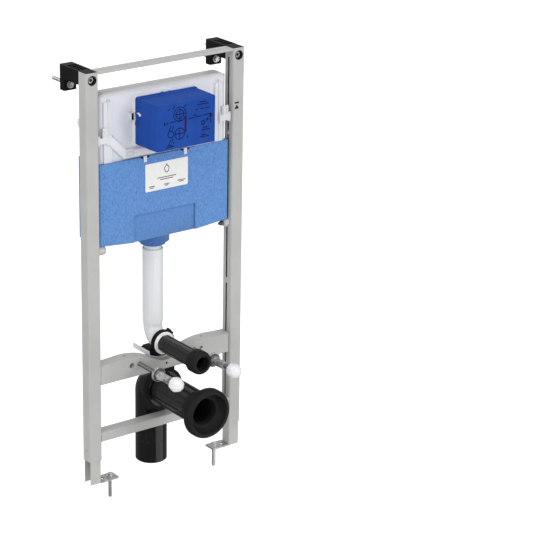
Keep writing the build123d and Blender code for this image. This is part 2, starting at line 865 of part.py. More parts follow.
def elbow_foot():
    """Black saddle that fills the cradle under the elbow."""
    front = clamp_y + clamp_width / 2 + seat_gap
    half = cradle_half_width - cradle_wall - seat_gap
    foot = block((-half, half), (front, foot_back), (bar_bottom, foot_top))
    floor = bar_profile(-2 * seat_gap - cradle_wall, 0)
    foot -= Plane.XZ.offset(-(front - 1)) * extrude(floor, -(foot_back - front + 2))
    top = foot.edges().filter_by(Axis.Y).group_by(Axis.Z)[-1]
    foot = chamfer(top, foot_edge)
    return foot - elbow_tube(pipe_r + seat_gap, pipe_neck_bottom, front - 1)


def waste_elbow():
    """Black waste bend: upright spigot with a stop groove, a domed top and a wide socket facing the pan."""
    dome = rod((0, waste_y, waste_bottom), (0, waste_y, waste_height), waste_r)
    dome = chamfer(dome.edges().group_by(Axis.Z)[0], waste_edge)
    dome += Pos(0, waste_y, waste_height) * Sphere(waste_r)
    dome += rod((0, waste_y, waste_height), (0, socket_front + 1, waste_height), waste_r)
    dome += rod((0, socket_front, waste_height), (0, socket_front + socket_length, waste_height), socket_r)
    inner = waste_r - waste_wall
    dome -= rod((0, waste_y, waste_bottom - 1), (0, waste_y, waste_height), inner)
    dome -= Pos(0, waste_y, waste_height) * Sphere(inner)
    dome -= rod((0, waste_y, waste_height), (0, socket_front - 1, waste_height), inner)
    mouth = waste_pipe_r + seat_gap
    dome -= rod(
        (0, socket_front + socket_length - waste_wall, waste_height), (0, socket_front - 1, waste_height), mouth
    )
    groove_z = waste_bottom + waste_edge + spigot_length
    band = rod((0, waste_y, groove_z), (0, waste_y, groove_z + spigot_groove), waste_r + 1)
    core = rod((0, waste_y, groove_z), (0, waste_y, groove_z + spigot_groove), waste_r - spigot_groove_depth)
    return dome - (band - core)


def waste_clip():
    """Black ring round the socket with a lug that hangs it behind the crossbar."""
    front = bar_lip + seat_gap
    back = front + waste_clip_width
    grip = socket_r + seat_gap
    ring = turned([(grip, front), (waste_clip_r, front), (waste_clip_r, back), (grip, back)], 0, waste_height)
    lug = block(
        (-clip_lug_half_width, clip_lug_half_width),
        (front, front + clip_lug_thickness),
        (waste_height, bar_bottom + clip_lug_height),
    )
    lug -= rod((0, front - 1, waste_height), (0, back + 1, waste_height), waste_clip_r - 1)
    return ring + lug


def waste_connector():
    """Black ribbed waste pipe in two diameters, from the socket to the pan seal."""
    front = ribbed_tube(waste_pipe_r, waste_pipe_wall, waste_rib, waste_ribs, waste_pipe_front, waste_step_y,
                        waste_height)
    back = socket_front + socket_length - waste_wall - seat_gap
    tail = rod((0, waste_step_y, waste_height), (0, back, waste_height), waste_pipe_r)
    hole = rod((0, waste_step_y - 1, waste_height), (0, back + 1, waste_height), waste_pipe_r - waste_pipe_wall)
    return front + (tail - hole)


def waste_seal():
    """Rubber pan seal: cuff on the pipe, wide rim and a funnel into the bore."""
    grip = waste_pipe_r + waste_rib + seat_gap
    cuff = grip + seal_cuff
    seat = waste_pipe_front - seat_gap
    rim_back = seal_front + seal_rim
    points = [
        (seal_bore_r, seat),
        (seal_bore_r, seal_front + seal_funnel_depth),
        (seal_mouth_r, seal_front),
        (seal_r - seal_edge, seal_front),
        (seal_r, seal_front + seal_edge),
        (seal_r, rim_back),
        (cuff, seal_back - seal_cuff_length),
        (cuff, seal_back),
        (grip, seal_back),
        (grip, seat),
    ]
    return turned(points, 0, waste_height)


def stud(side):
    """Threaded stud through the crossbar, with its nut inside the channel."""
    x = side * stud_spacing / 2
    nut_back = bar_wall + back_nut_length
    nut = hexagon((x, bar_wall, stud_height), (x, nut_back, stud_height), back_nut_flats)
    return rod((x, stud_back, stud_height), (x, stud_front, stud_height), stud_r) + nut


def stud_sleeve(side):
    """Clear flanged sleeve on the stud."""
    x = side * stud_spacing / 2
    bore = stud_r + stud_play
    flange_front = sleeve_y - sleeve_flange
    points = [
        (bore, sleeve_y),
        (sleeve_flange_r, sleeve_y),
        (sleeve_flange_r, flange_front),
        (sleeve_r, flange_front),
        (sleeve_r, sleeve_y - sleeve_length),
        (bore, sleeve_y - sleeve_length),
    ]
    return turned(points, x, stud_height)


def stud_nut(side):
    x = side * stud_spacing / 2
    back = sleeve_y - sleeve_flange
    nut = hexagon((x, back, stud_height), (x, back - nut_length, stud_height), nut_flats)
    return nut - rod((x, back + 1, stud_height), (x, back - nut_length - 1, stud_height), sleeve_r + stud_play)


def stud_cap(side):
    """White cap pushed on the stud's end: well rounded nose and a softer back edge."""
    bore = stud_r + stud_play
    seat = -stud_front + (right_cap_out if side > 0 else 0)
    back = seat - cap_bore_depth
    front = back + cap_length
    nose = CenterArc((cap_r - cap_nose, front - cap_nose), cap_nose, 0, 90)
    heel = CenterArc((cap_r - cap_back_round, back + cap_back_round), cap_back_round, -90, 90)
    inside = Polyline(
        (cap_r - cap_nose, front),
        (0, front),
        (0, seat),
        (bore, seat),
        (bore, back),
        (cap_r - cap_back_round, back),
    )
    side_line = Line((cap_r, back + cap_back_round), (cap_r, front - cap_nose))
    return turned_face(make_face(nose + inside + heel + side_line), side * stud_spacing / 2, stud_height)


os.makedirs("parts", exist_ok=True)

pairs = {
    "post": post(),
    "leg": leg(),
    "foot_plate": foot_plate(),
    "floor_anchor": floor_anchor(),
    "wall_bracket": wall_bracket(),
    "adjusting_screw": adjusting_screw(),
    "wall_screw": wall_screw(),
    "cistern_clip": cistern_clip(),
    "support_stub": support_stub(),
}
for name, right in pairs.items():
    save(right, f"right_{name}")
    save(mirrored(right), f"left_{name}")

for side_name, side in (("left", -1), ("right", 1)):
    save(stud(side), f"{side_name}_stud")
    save(stud_sleeve(side), f"{side_name}_stud_sleeve")
    save(stud_nut(side), f"{side_name}_stud_nut")
    save(stud_cap(side), f"{side_name}_stud_cap")

save(top_rail(), "top_rail")
save(support_crossbar(), "support_crossbar")
save(lower_crossbar(), "lower_crossbar")
save(cistern(), "cistern")
save(insulation_jacket(), "insulation_jacket")
save(jacket_hooks(), "jacket_hooks")
save(access_shroud(), "access_shroud")
save(shroud_clips(), "shroud_clips")
save(flush_pipe(), "flush_pipe")
save(flush_clamp(), "flush_clamp")
save(flush_seal_ring(), "flush_seal_ring")
save(flush_connector(), "flush_connector")
save(flush_cone_seal(), "flush_cone_seal")
save(elbow_support(), "elbow_support")
save(elbow_foot(), "elbow_foot")
save(waste_elbow(), "waste_elbow")
save(waste_clip(), "waste_clip")
save(waste_connector(), "waste_connector")
save(waste_seal(), "waste_seal")
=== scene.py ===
import math

import bmesh
import bpy
from mathutils import Matrix, Vector


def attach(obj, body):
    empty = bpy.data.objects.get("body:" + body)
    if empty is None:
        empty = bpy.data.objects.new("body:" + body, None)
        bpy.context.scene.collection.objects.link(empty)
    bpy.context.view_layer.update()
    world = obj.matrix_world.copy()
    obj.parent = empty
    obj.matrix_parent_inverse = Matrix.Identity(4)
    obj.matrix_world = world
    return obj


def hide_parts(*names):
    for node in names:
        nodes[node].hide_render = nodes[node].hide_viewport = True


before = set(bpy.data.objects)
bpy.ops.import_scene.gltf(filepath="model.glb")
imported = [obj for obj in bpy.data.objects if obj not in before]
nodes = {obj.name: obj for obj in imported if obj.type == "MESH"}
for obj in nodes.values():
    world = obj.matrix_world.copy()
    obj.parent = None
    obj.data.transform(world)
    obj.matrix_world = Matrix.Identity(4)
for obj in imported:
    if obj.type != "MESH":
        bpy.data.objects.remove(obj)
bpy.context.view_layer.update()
print("frame loaded:", len(nodes), "nodes")

# Places are given in millimetres from the middle of the floor line between the posts' front faces.
rowOrigin = Vector((-231.0, 126.0, 1113.9))
rearward, forward, upward = (0, 1, 0), (0, -1, 0), (0, 0, 1)
sides = (("left", -1), ("right", 1))


def at(x, y, z):
    return (Vector((x, y, z)) - rowOrigin) / 1000


def screen(red, green, blue):
    # a colour as it looks on screen, 0 to 255, made linear
    return tuple(((c / 255 + 0.055) / 1.055) ** 2.4 for c in (red, green, blue)) + (1.0,)


# shader helpers and the node groups that the finishes share

def put(tree, kind, sockets=None, **settings):
    node = tree.nodes.new("ShaderNode" + kind)
    for name, value in settings.items():
        setattr(node, name, value)
    for name, value in (sockets or {}).items():
        if isinstance(value, bpy.types.NodeSocket):
            tree.links.new(value, node.inputs[name])
        else:
            node.inputs[name].default_value = value
    return node


def send(tree, sockets, **values):
    for label, value in values.items():
        tree.links.new(value, sockets[label.replace("_", " ")])


def maths(tree, operation, a, b=0.0, clamp=False):
    return put(tree, "Math", {0: a, 1: b}, operation=operation, use_clamp=clamp).outputs[0]


def plus(tree, a, b):
    return maths(tree, "ADD", a, b)


def minus(tree, a, b):
    return maths(tree, "SUBTRACT", a, b)


def times(tree, a, b):
    return maths(tree, "MULTIPLY", a, b)


def away(tree, value, middle):
    return maths(tree, "ABSOLUTE", minus(tree, value, middle))


def vectors(tree, operation, a, b):
    return put(tree, "VectorMath", {0: a, 1: b}, operation=operation).outputs[0]


def spread(tree, value, low, high, newLow=0.0, newHigh=1.0):
    sockets = {0: value, 1: low, 2: high, 3: newLow, 4: newHigh}
    return put(tree, "MapRange", sockets, interpolation_type="SMOOTHSTEP").outputs[0]


def mixColour(tree, amount, a, b):
    return put(tree, "Mix", {0: amount, 6: a, 7: b}, data_type="RGBA").outputs[2]


def objectPlace(tree):
    return put(tree, "TexCoord").outputs["Object"]


def objectAxes(tree):
    return put(tree, "SeparateXYZ", {0: objectPlace(tree)}).outputs


def noise(tree, place, scale, detail, **more):
    return put(tree, "TexNoise", dict(more, Vector=place, Scale=scale, Detail=detail)).outputs


def startGroup(name, given, made):
    # given holds the inputs with their usual values, made the names of the outputs
    kinds = dict.fromkeys(("Colour", "Other", "Edge", "Streak", "Light", "Dark"), "Color")
    kinds.update(Normal="Vector", Stretch="Vector")
    group = bpy.data.node_groups.new(name, "ShaderNodeTree")
    for label, value in given.items():
        kind = "NodeSocket" + kinds.get(label, "Float")
        group.interface.new_socket(label, in_out="INPUT", socket_type=kind).default_value = value
    for label in made:
        group.interface.new_socket(label, in_out="OUTPUT", socket_type="NodeSocket" + kinds.get(label, "Float"))
    return group, group.nodes.new("NodeGroupInput").outputs, group.nodes.new("NodeGroupOutput").inputs


def makeGrain():
    # fine moulded or sprayed skin: a height and a roughness that wanders
    usual = dict(Size=900.0, Roughness=0.4, Wander=0.08)
    group, given, out = startGroup("fineGrain", usual, ["Height", "Roughness"])
    place = objectPlace(group)
    fine = noise(group, place, given["Size"], 3.0)[0]
    broad = noise(group, place, 26.0, 4.0)[0]
    drift = times(group, minus(group, broad, 0.5), given["Wander"])
    send(group, out, Height=fine, Roughness=plus(group, times(group, drift, 2.0), given["Roughness"]))


def makeTint():
    # slow cloudy change of one colour into another
    usual = dict(Colour=(0.5, 0.5, 0.5, 1), Other=(0.4, 0.4, 0.4, 1), Scale=14.0, Amount=1.0)
    group, given, out = startGroup("cloudyTint", usual, ["Colour"])
    cloud = noise(group, objectPlace(group), given["Scale"], 5.0, Roughness=0.6)[0]
    mask = times(group, spread(group, cloud, 0.32, 0.68), given["Amount"])
    send(group, out, Colour=mixColour(group, mask, given["Colour"], given["Other"]))


def makeEdge():
    # painted highlight along edges, patchy along their length, found where a rounded normal leaves the flat one
    usual = dict(Colour=(0.5, 0.5, 0.5, 1), Edge=(0.7, 0.7, 0.7, 1), Radius=0.0012, Amount=0.5)
    group, given, out = startGroup("paintedEdgeHighlight", usual, ["Colour", "Normal"])
    soft = put(group, "Bevel", {"Radius": given["Radius"]}, samples=6).outputs[0]
    flat = put(group, "NewGeometry").outputs["Normal"]
    turn = put(group, "VectorMath", {0: soft, 1: flat}, operation="DOT_PRODUCT").outputs["Value"]
    patchy = spread(group, noise(group, objectPlace(group), 90.0, 3.0)[0], 0.3, 0.6, 0.45, 1.0)
    edge = spread(group, minus(group, 1.0, turn), 0.01, 0.22)
    mask = times(group, times(group, edge, patchy), given["Amount"])
    send(group, out, Colour=mixColour(group, mask, given["Colour"], given["Edge"]), Normal=soft)


def makeFoam():
    # bead foam with a brushed, downward streak
    usual = dict(Colour=(0.2, 0.3, 0.6, 1), Streak=(0.1, 0.2, 0.5, 1), Beads=230.0, Lines=430.0)
    group, given, out = startGroup("foamSkin", usual, ["Colour", "Height"])
    place = objectPlace(group)
    shift = vectors(group, "MULTIPLY", noise(group, place, 24.0, 2.0)["Color"], (0.012, 0.012, 0.0))
    drawn = vectors(group, "MULTIPLY", vectors(group, "ADD", place, shift), (1.0, 1.0, 0.3))
    streaks = noise(group, drawn, given["Lines"], 5.0, Roughness=0.62)[0]
    flecks = noise(group, drawn, 210.0, 2.0)[0]
    beads = put(group, "TexVoronoi", {"Vector": place, "Scale": given["Beads"]}, feature="DISTANCE_TO_EDGE")
    seam = spread(group, beads.outputs["Distance"], 0.0, 0.09)
    fleck = spread(group, flecks, 0.6, 0.78, 0.0, 0.35)
    dark = maths(group, "ADD", spread(group, streaks, 0.43, 0.66), fleck, clamp=True)
    toned = mixColour(group, times(group, dark, 0.8), given["Colour"], given["Streak"])
    seamed = mixColour(group, times(group, minus(group, 1.0, seam), 0.22), toned, given["Streak"])
    send(group, out, Colour=seamed, Height=plus(group, times(group, seam, 0.5), times(group, streaks, 0.5)))


def makeSpangle():
    # patches of tone: zinc's own crystals, pushed on the bright zinc into painted glints, and on clear plastic
    # painted glints and shade of the light bent in it
    usual = dict(Light=(0.7, 0.7, 0.7, 1), Dark=(0.45, 0.45, 0.46, 1), Scale=320.0)
    group, given, out = startGroup("spangleAndGlints", usual, ["Colour", "Roughness"])
    place = objectPlace(group)
    cells = put(group, "TexVoronoi", {"Vector": place, "Scale": given["Scale"]})
    tone = put(group, "SeparateColor", {0: cells.outputs["Color"]}).outputs[0]
    smear = noise(group, place, 60.0, 4.0)[0]
    mask = plus(group, times(group, tone, 0.55), times(group, smear, 0.45))
    rough = spread(group, mask, 0.2, 0.8, 0.24, 0.46)
    send(group, out, Colour=mixColour(group, mask, given["Light"], given["Dark"]), Roughness=rough)


def makeDraw():
    # faint lines drawn along one axis, as an extruder or a mould's steel leaves them
    group, given, out = startGroup("drawLines", dict(Stretch=(1.0, 1.0, 0.02), Scale=420.0), ["Height", "Mask"])
    drawn = vectors(group, "MULTIPLY", objectPlace(group), given["Stretch"])
    lines = noise(group, drawn, given["Scale"], 2.0)[0]
    send(group, out, Height=lines, Mask=spread(group, lines, 0.35, 0.65))


for make in (makeGrain, makeTint, makeEdge, makeFoam, makeSpangle, makeDraw):
    make()
print("node groups made:", ", ".join(bpy.data.node_groups.keys()))


def useGroup(tree, name, **sockets):
    return put(tree, "Group", sockets, node_tree=bpy.data.node_groups[name]).outputs


materials = {}


def startMaterial(name, **plain):
    materials[name] = bpy.data.materials.new(name)
    materials[name].use_nodes = True
    tree = materials[name].node_tree
    shader = tree.nodes["Principled BSDF"]
    for label, value in plain.items():
        shader.inputs[label.replace("_", " ")].default_value = value
    return tree, shader


def cover(tree, shader, colour, height, edge, radius, amount, bump, depth, roughness=None):
    # what every skin ends with: painted edge highlights, fine relief and, where it isn't plain, the roughness
    lit = useGroup(tree, "paintedEdgeHighlight", Colour=colour, Edge=screen(*edge), Radius=radius, Amount=amount)
    sockets = dict(Height=height, Normal=lit["Normal"], Strength=bump, Distance=depth)
    send(tree, shader.inputs, Base_Color=lit["Colour"], Normal=put(tree, "Bump", sockets).outputs[0])
    if roughness is not None:
        send(tree, shader.inputs, Roughness=roughness)


def skin(name, colour, other, edge, grain, bump, roughness, edgeAmount=0.5, edgeRadius=0.001, wander=0.1, **plain):
    tree, shader = startMaterial(name, **plain)
    tinted = useGroup(tree, "cloudyTint", Colour=screen(*colour), Other=screen(*other), Scale=12.0)["Colour"]
    grains = useGroup(tree, "fineGrain", Size=grain, Roughness=roughness, Wander=wander)
    cover(tree, shader, tinted, grains["Height"], edge, edgeRadius, edgeAmount, bump, 0.0004, grains["Roughness"])


# One row of settings for each finish that is a skin over one colour; edge is the colour of its painted edge
# highlight.
finishes = {
    "powderCoat": dict(colour=(184, 184, 181), other=(178, 179, 175), edge=(203, 203, 200),
                       edgeRadius=0.0014, grain=1500.0, bump=0.06, roughness=0.42, wander=0.05),
    "innerCoat": dict(colour=(187, 188, 184), other=(180, 181, 177), edge=(206, 206, 202), edgeAmount=0.4,
                      grain=1500.0, bump=0.06, roughness=0.46, wander=0.05),
    "blackMoulding": dict(colour=(29, 29, 29), other=(22, 22, 23), edge=(62, 62, 62), edgeAmount=0.6,
                          grain=1300.0, bump=0.12, roughness=0.45, Specular_IOR_Level=0.07),
    "whiteMoulding": dict(colour=(226, 227, 229), other=(218, 219, 222), edge=(240, 240, 242),
                          edgeRadius=0.0012, grain=1100.0, bump=0.05, roughness=0.34, wander=0.06),
    "blueMoulding": dict(colour=(40, 78, 162), other=(35, 71, 152), edge=(104, 144, 212), edgeAmount=0.6,
                         edgeRadius=0.0014, grain=1000.0, bump=0.08, roughness=0.4, wander=0.08,
                         Specular_IOR_Level=0.01),
    "greyMoulding": dict(colour=(196, 197, 195), other=(184, 185, 184), edge=(218, 218, 216),
                         edgeRadius=0.0012, grain=1100.0, bump=0.08, roughness=0.42, wander=0.08),
    "sealingWhite": dict(colour=(250, 250, 250), other=(244, 244, 244), edge=(252, 252, 252), edgeAmount=0.4,
                         grain=900.0, bump=0.08, roughness=0.5, wander=0.05),
    "blackRubber": dict(colour=(34, 34, 33), other=(27, 27, 27), edge=(62, 62, 60), edgeAmount=0.4,
                        edgeRadius=0.0018, grain=800.0, bump=0.16, roughness=0.55, Specular_IOR_Level=0.12),
    "dimRubber": dict(colour=(92, 92, 91), other=(70, 70, 69), edge=(140, 140, 138),
                      edgeRadius=0.0008, grain=900.0, bump=0.2, roughness=0.4),
    "darkSteel": dict(colour=(118, 118, 116), other=(92, 92, 90), edge=(190, 190, 188), edgeAmount=0.6,
                      edgeRadius=0.0008, grain=1600.0, bump=0.05, roughness=0.3, Metallic=0.9),
}


def makeTankPlastic():
    # blow-moulded tank wall: cool white, a little see-through, greyer towards its top
    look = dict(body=(226, 227, 232), deep=(214, 215, 222), top=(200, 200, 201), edge=(238, 238, 241),
                topStart=1072.0, topEnd=1084.0)
    tree, shader = startMaterial("tankPlastic", Subsurface_Weight=0.12, Subsurface_Scale=0.01,
                                 Coat_Weight=0.08)
    body = useGroup(tree, "cloudyTint", Colour=screen(*look["body"]), Other=screen(*look["deep"]), Scale=7.0,
                    Amount=0.8)["Colour"]
    low, high = at(0, 0, look["topStart"]).z, at(0, 0, look["topEnd"]).z
    upper = mixColour(tree, spread(tree, objectAxes(tree)[2], low, high), body, screen(*look["top"]))
    grains = useGroup(tree, "fineGrain", Size=420.0, Roughness=0.38, Wander=0.08)
    cover(tree, shader, upper, grains["Height"], look["edge"], 0.003, 0.5, 0.05, 0.0006, grains["Roughness"])


def makeFoamBlue():
    # bead foam, with painted shade in the sunk panel and painted shadow along the panel's edges, darker down its
    # collar
    look = dict(colour=(99, 148, 209), streak=(60, 110, 182), edge=(140, 178, 228), sunk=(84, 130, 196),
                shade=(52, 92, 152), collar=(48, 96, 176), panelHalf=0.0994, panelDeep=0.01, panelTop=741.2,
                panelFloor=12.5, topFade=0.008, sideFade=0.005, collarTop=664.0, collarFade=3.0)
    tree, shader = startMaterial("foamBlue", Roughness=0.78, Sheen_Weight=0.15)
    foam = useGroup(tree, "foamSkin", Colour=screen(*look["colour"]), Streak=screen(*look["streak"]))
    along, into, up = objectAxes(tree)
    off = away(tree, along, at(0, 0, 0).x)
    half, top, floor = look["panelHalf"], at(0, 0, look["panelTop"]).z, at(0, look["panelFloor"], 0).y
    inside = times(tree, maths(tree, "LESS_THAN", off, half), maths(tree, "LESS_THAN", up, top))
    front = times(tree, maths(tree, "GREATER_THAN", into, floor),
                  maths(tree, "LESS_THAN", into, floor + look["panelDeep"]))
    sunk = times(tree, inside, front)
    # painted shade: the sunk panel's floor is made darker
    toned = mixColour(tree, times(tree, sunk, 0.45), foam["Colour"], screen(*look["sunk"]))
    # painted shadow along the panel's top and side edges, as under an overhang
    overhangShadow = maths(tree, "MAXIMUM", spread(tree, up, top - look["topFade"], top),
                 spread(tree, off, half - look["sideFade"], half))
    shaded = mixColour(tree, times(tree, times(tree, overhangShadow, sunk), 0.6), toned, screen(*look["shade"]))
    low = spread(tree, up, at(0, 0, look["collarTop"]).z, at(0, 0, look["collarTop"] - look["collarFade"]).z)
    deep = mixColour(tree, times(tree, low, 0.75), shaded, screen(*look["collar"]))
    cover(tree, shader, deep, foam["Height"], look["edge"], 0.003, 0.25, 0.25, 0.0008)


def makePostCoat():
    # the same paint outside; painted shade makes the post's hollow near black where it shows through the slot
    look = dict(hollow=(40, 41, 42), post=0.231, middle=19.0, half=0.0175)
    skin("postCoat", **finishes["powderCoat"])
    tree = materials["postCoat"].node_tree
    shader = tree.nodes["Principled BSDF"]
    paint = shader.inputs["Base Color"].links[0].from_socket
    along, into = objectAxes(tree)[:2]
    aside = away(tree, away(tree, along, at(0, 0, 0).x), look["post"])
    deep = away(tree, into, at(0, look["middle"], 0).y)
    # painted shade: the post's inside is made near black
    hollow = maths(tree, "LESS_THAN", maths(tree, "MAXIMUM", aside, deep), look["half"])
    send(tree, shader.inputs, Base_Color=mixColour(tree, hollow, paint, screen(*look["hollow"])))


def makeZinc(name, light, dark, scale):
    tree, shader = startMaterial(name, Metallic=0.85)
    crystals = useGroup(tree, "spangleAndGlints", Light=screen(*light), Dark=screen(*dark), Scale=scale)
    grains = useGroup(tree, "fineGrain", Size=1400.0)
    cover(tree, shader, crystals["Colour"], grains["Height"], (235, 235, 234), 0.0006, 0.5, 0.08, 0.0004,
          crystals["Roughness"])


def makePipe(name, colour, lines, roughness, stretch=(1.0, 1.0, 0.015), **plain):
    # a plain colour with faint drawn lines in another
    tree, shader = startMaterial(name, **plain)
    drawn = useGroup(tree, "drawLines", Stretch=stretch)
    tinted = mixColour(tree, times(tree, drawn["Mask"], 0.6), screen(*colour), screen(*lines))
    grains = useGroup(tree, "fineGrain", Size=500.0, Roughness=roughness, Wander=0.05)
    cover(tree, shader, tinted, drawn["Height"], lines, 0.0015, 0.4, 0.05, 0.0005, grains["Roughness"])


def makeClear(name, light, dark, scale):
    # clear moulded plastic: the light bent in it is painted as patches of light and dark, with painted highlights
    # on its edges
    tree, shader = startMaterial(name, Transmission_Weight=0.12, IOR=1.45, Coat_Weight=0.5,
                                 Coat_Roughness=0.06)
    patches = useGroup(tree, "spangleAndGlints", Light=screen(*light), Dark=screen(*dark), Scale=scale)
    grains = useGroup(tree, "fineGrain", Size=500.0, Roughness=0.16, Wander=0.1)
    cover(tree, shader, patches["Colour"], grains["Height"], (250, 250, 250), 0.0012, 0.7, 0.15, 0.0006,
          grains["Roughness"])


def makePrint(name, colour, other, roughness):
    # ink or paper: a thin colour with a slight mottle
    tree, shader = startMaterial(name, Roughness=roughness, Specular_IOR_Level=0.1)
    mottled = useGroup(tree, "cloudyTint", Colour=screen(*colour), Other=screen(*other), Scale=60.0, Amount=0.7)
    send(tree, shader.inputs, Base_Color=mottled["Colour"])


for name, look in finishes.items():
    skin(name, **look)
makeTankPlastic()
makeFoamBlue()
makePostCoat()
for maker, name, *look in (
    # bright zinc: crystal patches strong enough to be painted glints too
    (makeZinc, "brightZinc", (236, 236, 234), (120, 120, 118), 420.0),
    (makeZinc, "anchorZinc", (226, 226, 225), (176, 177, 176), 300.0),
    (makeZinc, "galvanised", (200, 201, 200), (150, 151, 151), 260.0),
    (makePrint, "labelPaper", (241, 240, 236), (234, 233, 229), 0.5),
    (makePrint, "greyInk", (66, 66, 68), (84, 84, 86), 0.6),
    # navy ink: the shroud's print, and also painted shadow beside the jacket hooks
    (makePrint, "navyInkAndShade", (8, 17, 54), (12, 24, 64), 0.6),
    (makePrint, "redInk", (52, 20, 66), (58, 26, 74), 0.6),
    # black ink: the level mark's print, and also painted shade in the crossbar's holes, the screw sockets and the
    # clip hollows
    (makePrint, "blackInkAndShade", (40, 40, 40), (52, 52, 52), 0.6),
    # clear plastics: patches of painted glints and painted shade
    (makeClear, "clearNut", (214, 216, 217), (1, 2, 2), 105.0),
    (makeClear, "sleevePlastic", (214, 215, 216), (1, 2, 2), 130.0),
):
    maker(name, *look)
for name, look in dict(
    flushPlastic=dict(colour=(232, 232, 233), lines=(220, 220, 222), roughness=0.32,
                      Subsurface_Weight=0.15, Subsurface_Scale=0.01),
    wastePipe=dict(colour=(8, 8, 8), lines=(13, 13, 13), roughness=0.12, Specular_IOR_Level=0.5),
    connectorPipe=dict(colour=(32, 32, 32), lines=(46, 46, 46), roughness=0.25, stretch=(1.0, 0.015, 1.0),
                       Specular_IOR_Level=0.4),
    capPlastic=dict(colour=(233, 234, 235), lines=(222, 223, 225), roughness=0.25, stretch=(1.0, 1.0, 1.0),
                    Coat_Weight=0.15),
).items():
    makePipe(name, **look)


def both(*names):
    return [side + "_" + name for name in names for side in ("left", "right")]


nodeFinish = {
    "postCoat": both("post"),
    "powderCoat": ["top_rail", "support_crossbar", "lower_crossbar"],
    "innerCoat": both("leg"),
    "galvanised": both("foot_plate"),
    "anchorZinc": both("floor_anchor"),
    "brightZinc": both("adjusting_screw", "wall_screw", "stud", "stud_nut"),
    "blackMoulding": both("wall_bracket") + ["elbow_foot", "flush_clamp", "waste_clip"],
    "whiteMoulding": both("cistern_clip") + ["jacket_hooks", "shroud_clips", "elbow_support"],
    "tankPlastic": ["cistern"],
    "foamBlue": ["insulation_jacket"],
    "blueMoulding": ["access_shroud"],
    "greyMoulding": both("support_stub"),
    "sealingWhite": ["flush_seal_ring"],
    "flushPlastic": ["flush_pipe"],
    "wastePipe": ["waste_elbow"],
    "connectorPipe": ["flush_connector", "waste_connector"],
    "blackRubber": ["flush_cone_seal", "waste_seal"],
    "sleevePlastic": both("stud_sleeve"),
    "capPlastic": both("stud_cap"),
}
for finish, members in nodeFinish.items():
    for name in members:
        for materialSlot in nodes[name].material_slots:
            materialSlot.material = materials[finish]
print("finishes on the frame's nodes:", len(materials), "materials")


# modelling helpers; every shape is drawn in the frame's millimetres and moved to the row at the end

toRow = Matrix.Translation(-rowOrigin / 1000) @ Matrix.Scale(0.001, 4)


def join(bm, part):
    keep = bpy.data.meshes.new("loose")
    part.to_mesh(keep)
    part.free()
    bm.from_mesh(keep)
    bpy.data.meshes.remove(keep)


def aim(centre, axis, roll=0.0):
    turn = Vector(axis).to_track_quat("Z", "Y").to_matrix().to_4x4()
    return Matrix.Translation(centre) @ turn @ Matrix.Rotation(roll, 4, "Z")


def soften(part, edges, offset, segments=2):
    bmesh.ops.bevel(part, geom=edges, offset=offset, offset_type="OFFSET", affect="EDGES",
                    segments=segments, profile=0.5, material=-1)


def block(bm, low, high, edge=0.0, segments=2, turn=None):
    part = bmesh.new()
    bmesh.ops.create_cube(part, size=1.0)
    bmesh.ops.scale(part, verts=part.verts, vec=Vector(high) - Vector(low))
    if edge:
        soften(part, list(part.edges), edge, segments)
    if turn is not None:
        part.transform(turn.to_4x4())
    bmesh.ops.translate(part, verts=part.verts, vec=(Vector(low) + Vector(high)) / 2)
    join(bm, part)


def blocks(bm, *rows):
    # each row: from and to in x, in y and in z, then the soft edge
    for (x0, x1), (y0, y1), (z0, z1), edge in rows:
        block(bm, (x0, y0, z0), (x1, y1, z1), edge)


def hoop(bm, xs, ys, zs, wall, edge):
    # four bars round a rectangle
    (x0, x1), (z0, z1) = xs, zs
    blocks(bm, (xs, ys, (z0, z0 + wall), edge), (xs, ys, (z1 - wall, z1), edge),
           ((x0, x0 + wall), ys, zs, edge), ((x1 - wall, x1), ys, zs, edge))


def mirrored(way, a, b):
    return sorted((way * a, way * b))


def spinUp(part, line, closed=False, climb=0.0, steps=32):
    # spins a line of (radius, height) points round Z
    line = [part.verts.new((r, 0.0, h)) for r, h in line]
    pairs = list(zip(line, line[1:])) + ([(line[-1], line[0])] if closed else [])
    edges = [part.edges.new(pair) for pair in pairs]
    bmesh.ops.spin(part, geom=line + edges, cent=(0, 0, 0), axis=upward, dvec=(0, 0, climb),
                   angle=math.tau, steps=steps, use_merge=not climb, use_duplicate=False)


def turned(bm, profile, centre, axis=upward, steps=32, roll=0.0):
    # a profile that keeps off the axis at both ends is closed into a ring
    part = bmesh.new()
    spinUp(part, profile, min(profile[0][0], profile[-1][0]) > 0, steps=steps)
    bmesh.ops.remove_doubles(part, verts=part.verts, dist=1e-4)
    bmesh.ops.recalc_face_normals(part, faces=part.faces)
    part.transform(aim(centre, axis, roll))
    join(bm, part)


def disc(bm, radius, thick, centre, axis, steps):
    turned(bm, [(0, 0), (radius, 0), (radius, thick), (0, thick)], centre, axis, steps)


def thread(bm, radius, depth, pitch, length, centre, axis, steps=16):
    # a toothed line climbs one pitch in a turn, so its end meets its own start
    part = bmesh.new()
    teeth = int(length / pitch) - 1
    rise = [(radius - depth if n % 2 else radius, n * pitch / 2) for n in range(2 * teeth + 1)]
    spinUp(part, rise, climb=pitch / steps, steps=steps)
    bmesh.ops.remove_doubles(part, verts=part.verts, dist=1e-3)
    bmesh.ops.holes_fill(part, edges=[e for e in part.edges if e.is_boundary], sides=0)
    bmesh.ops.recalc_face_normals(part, faces=part.faces)
    part.transform(aim(centre, axis))
    join(bm, part)


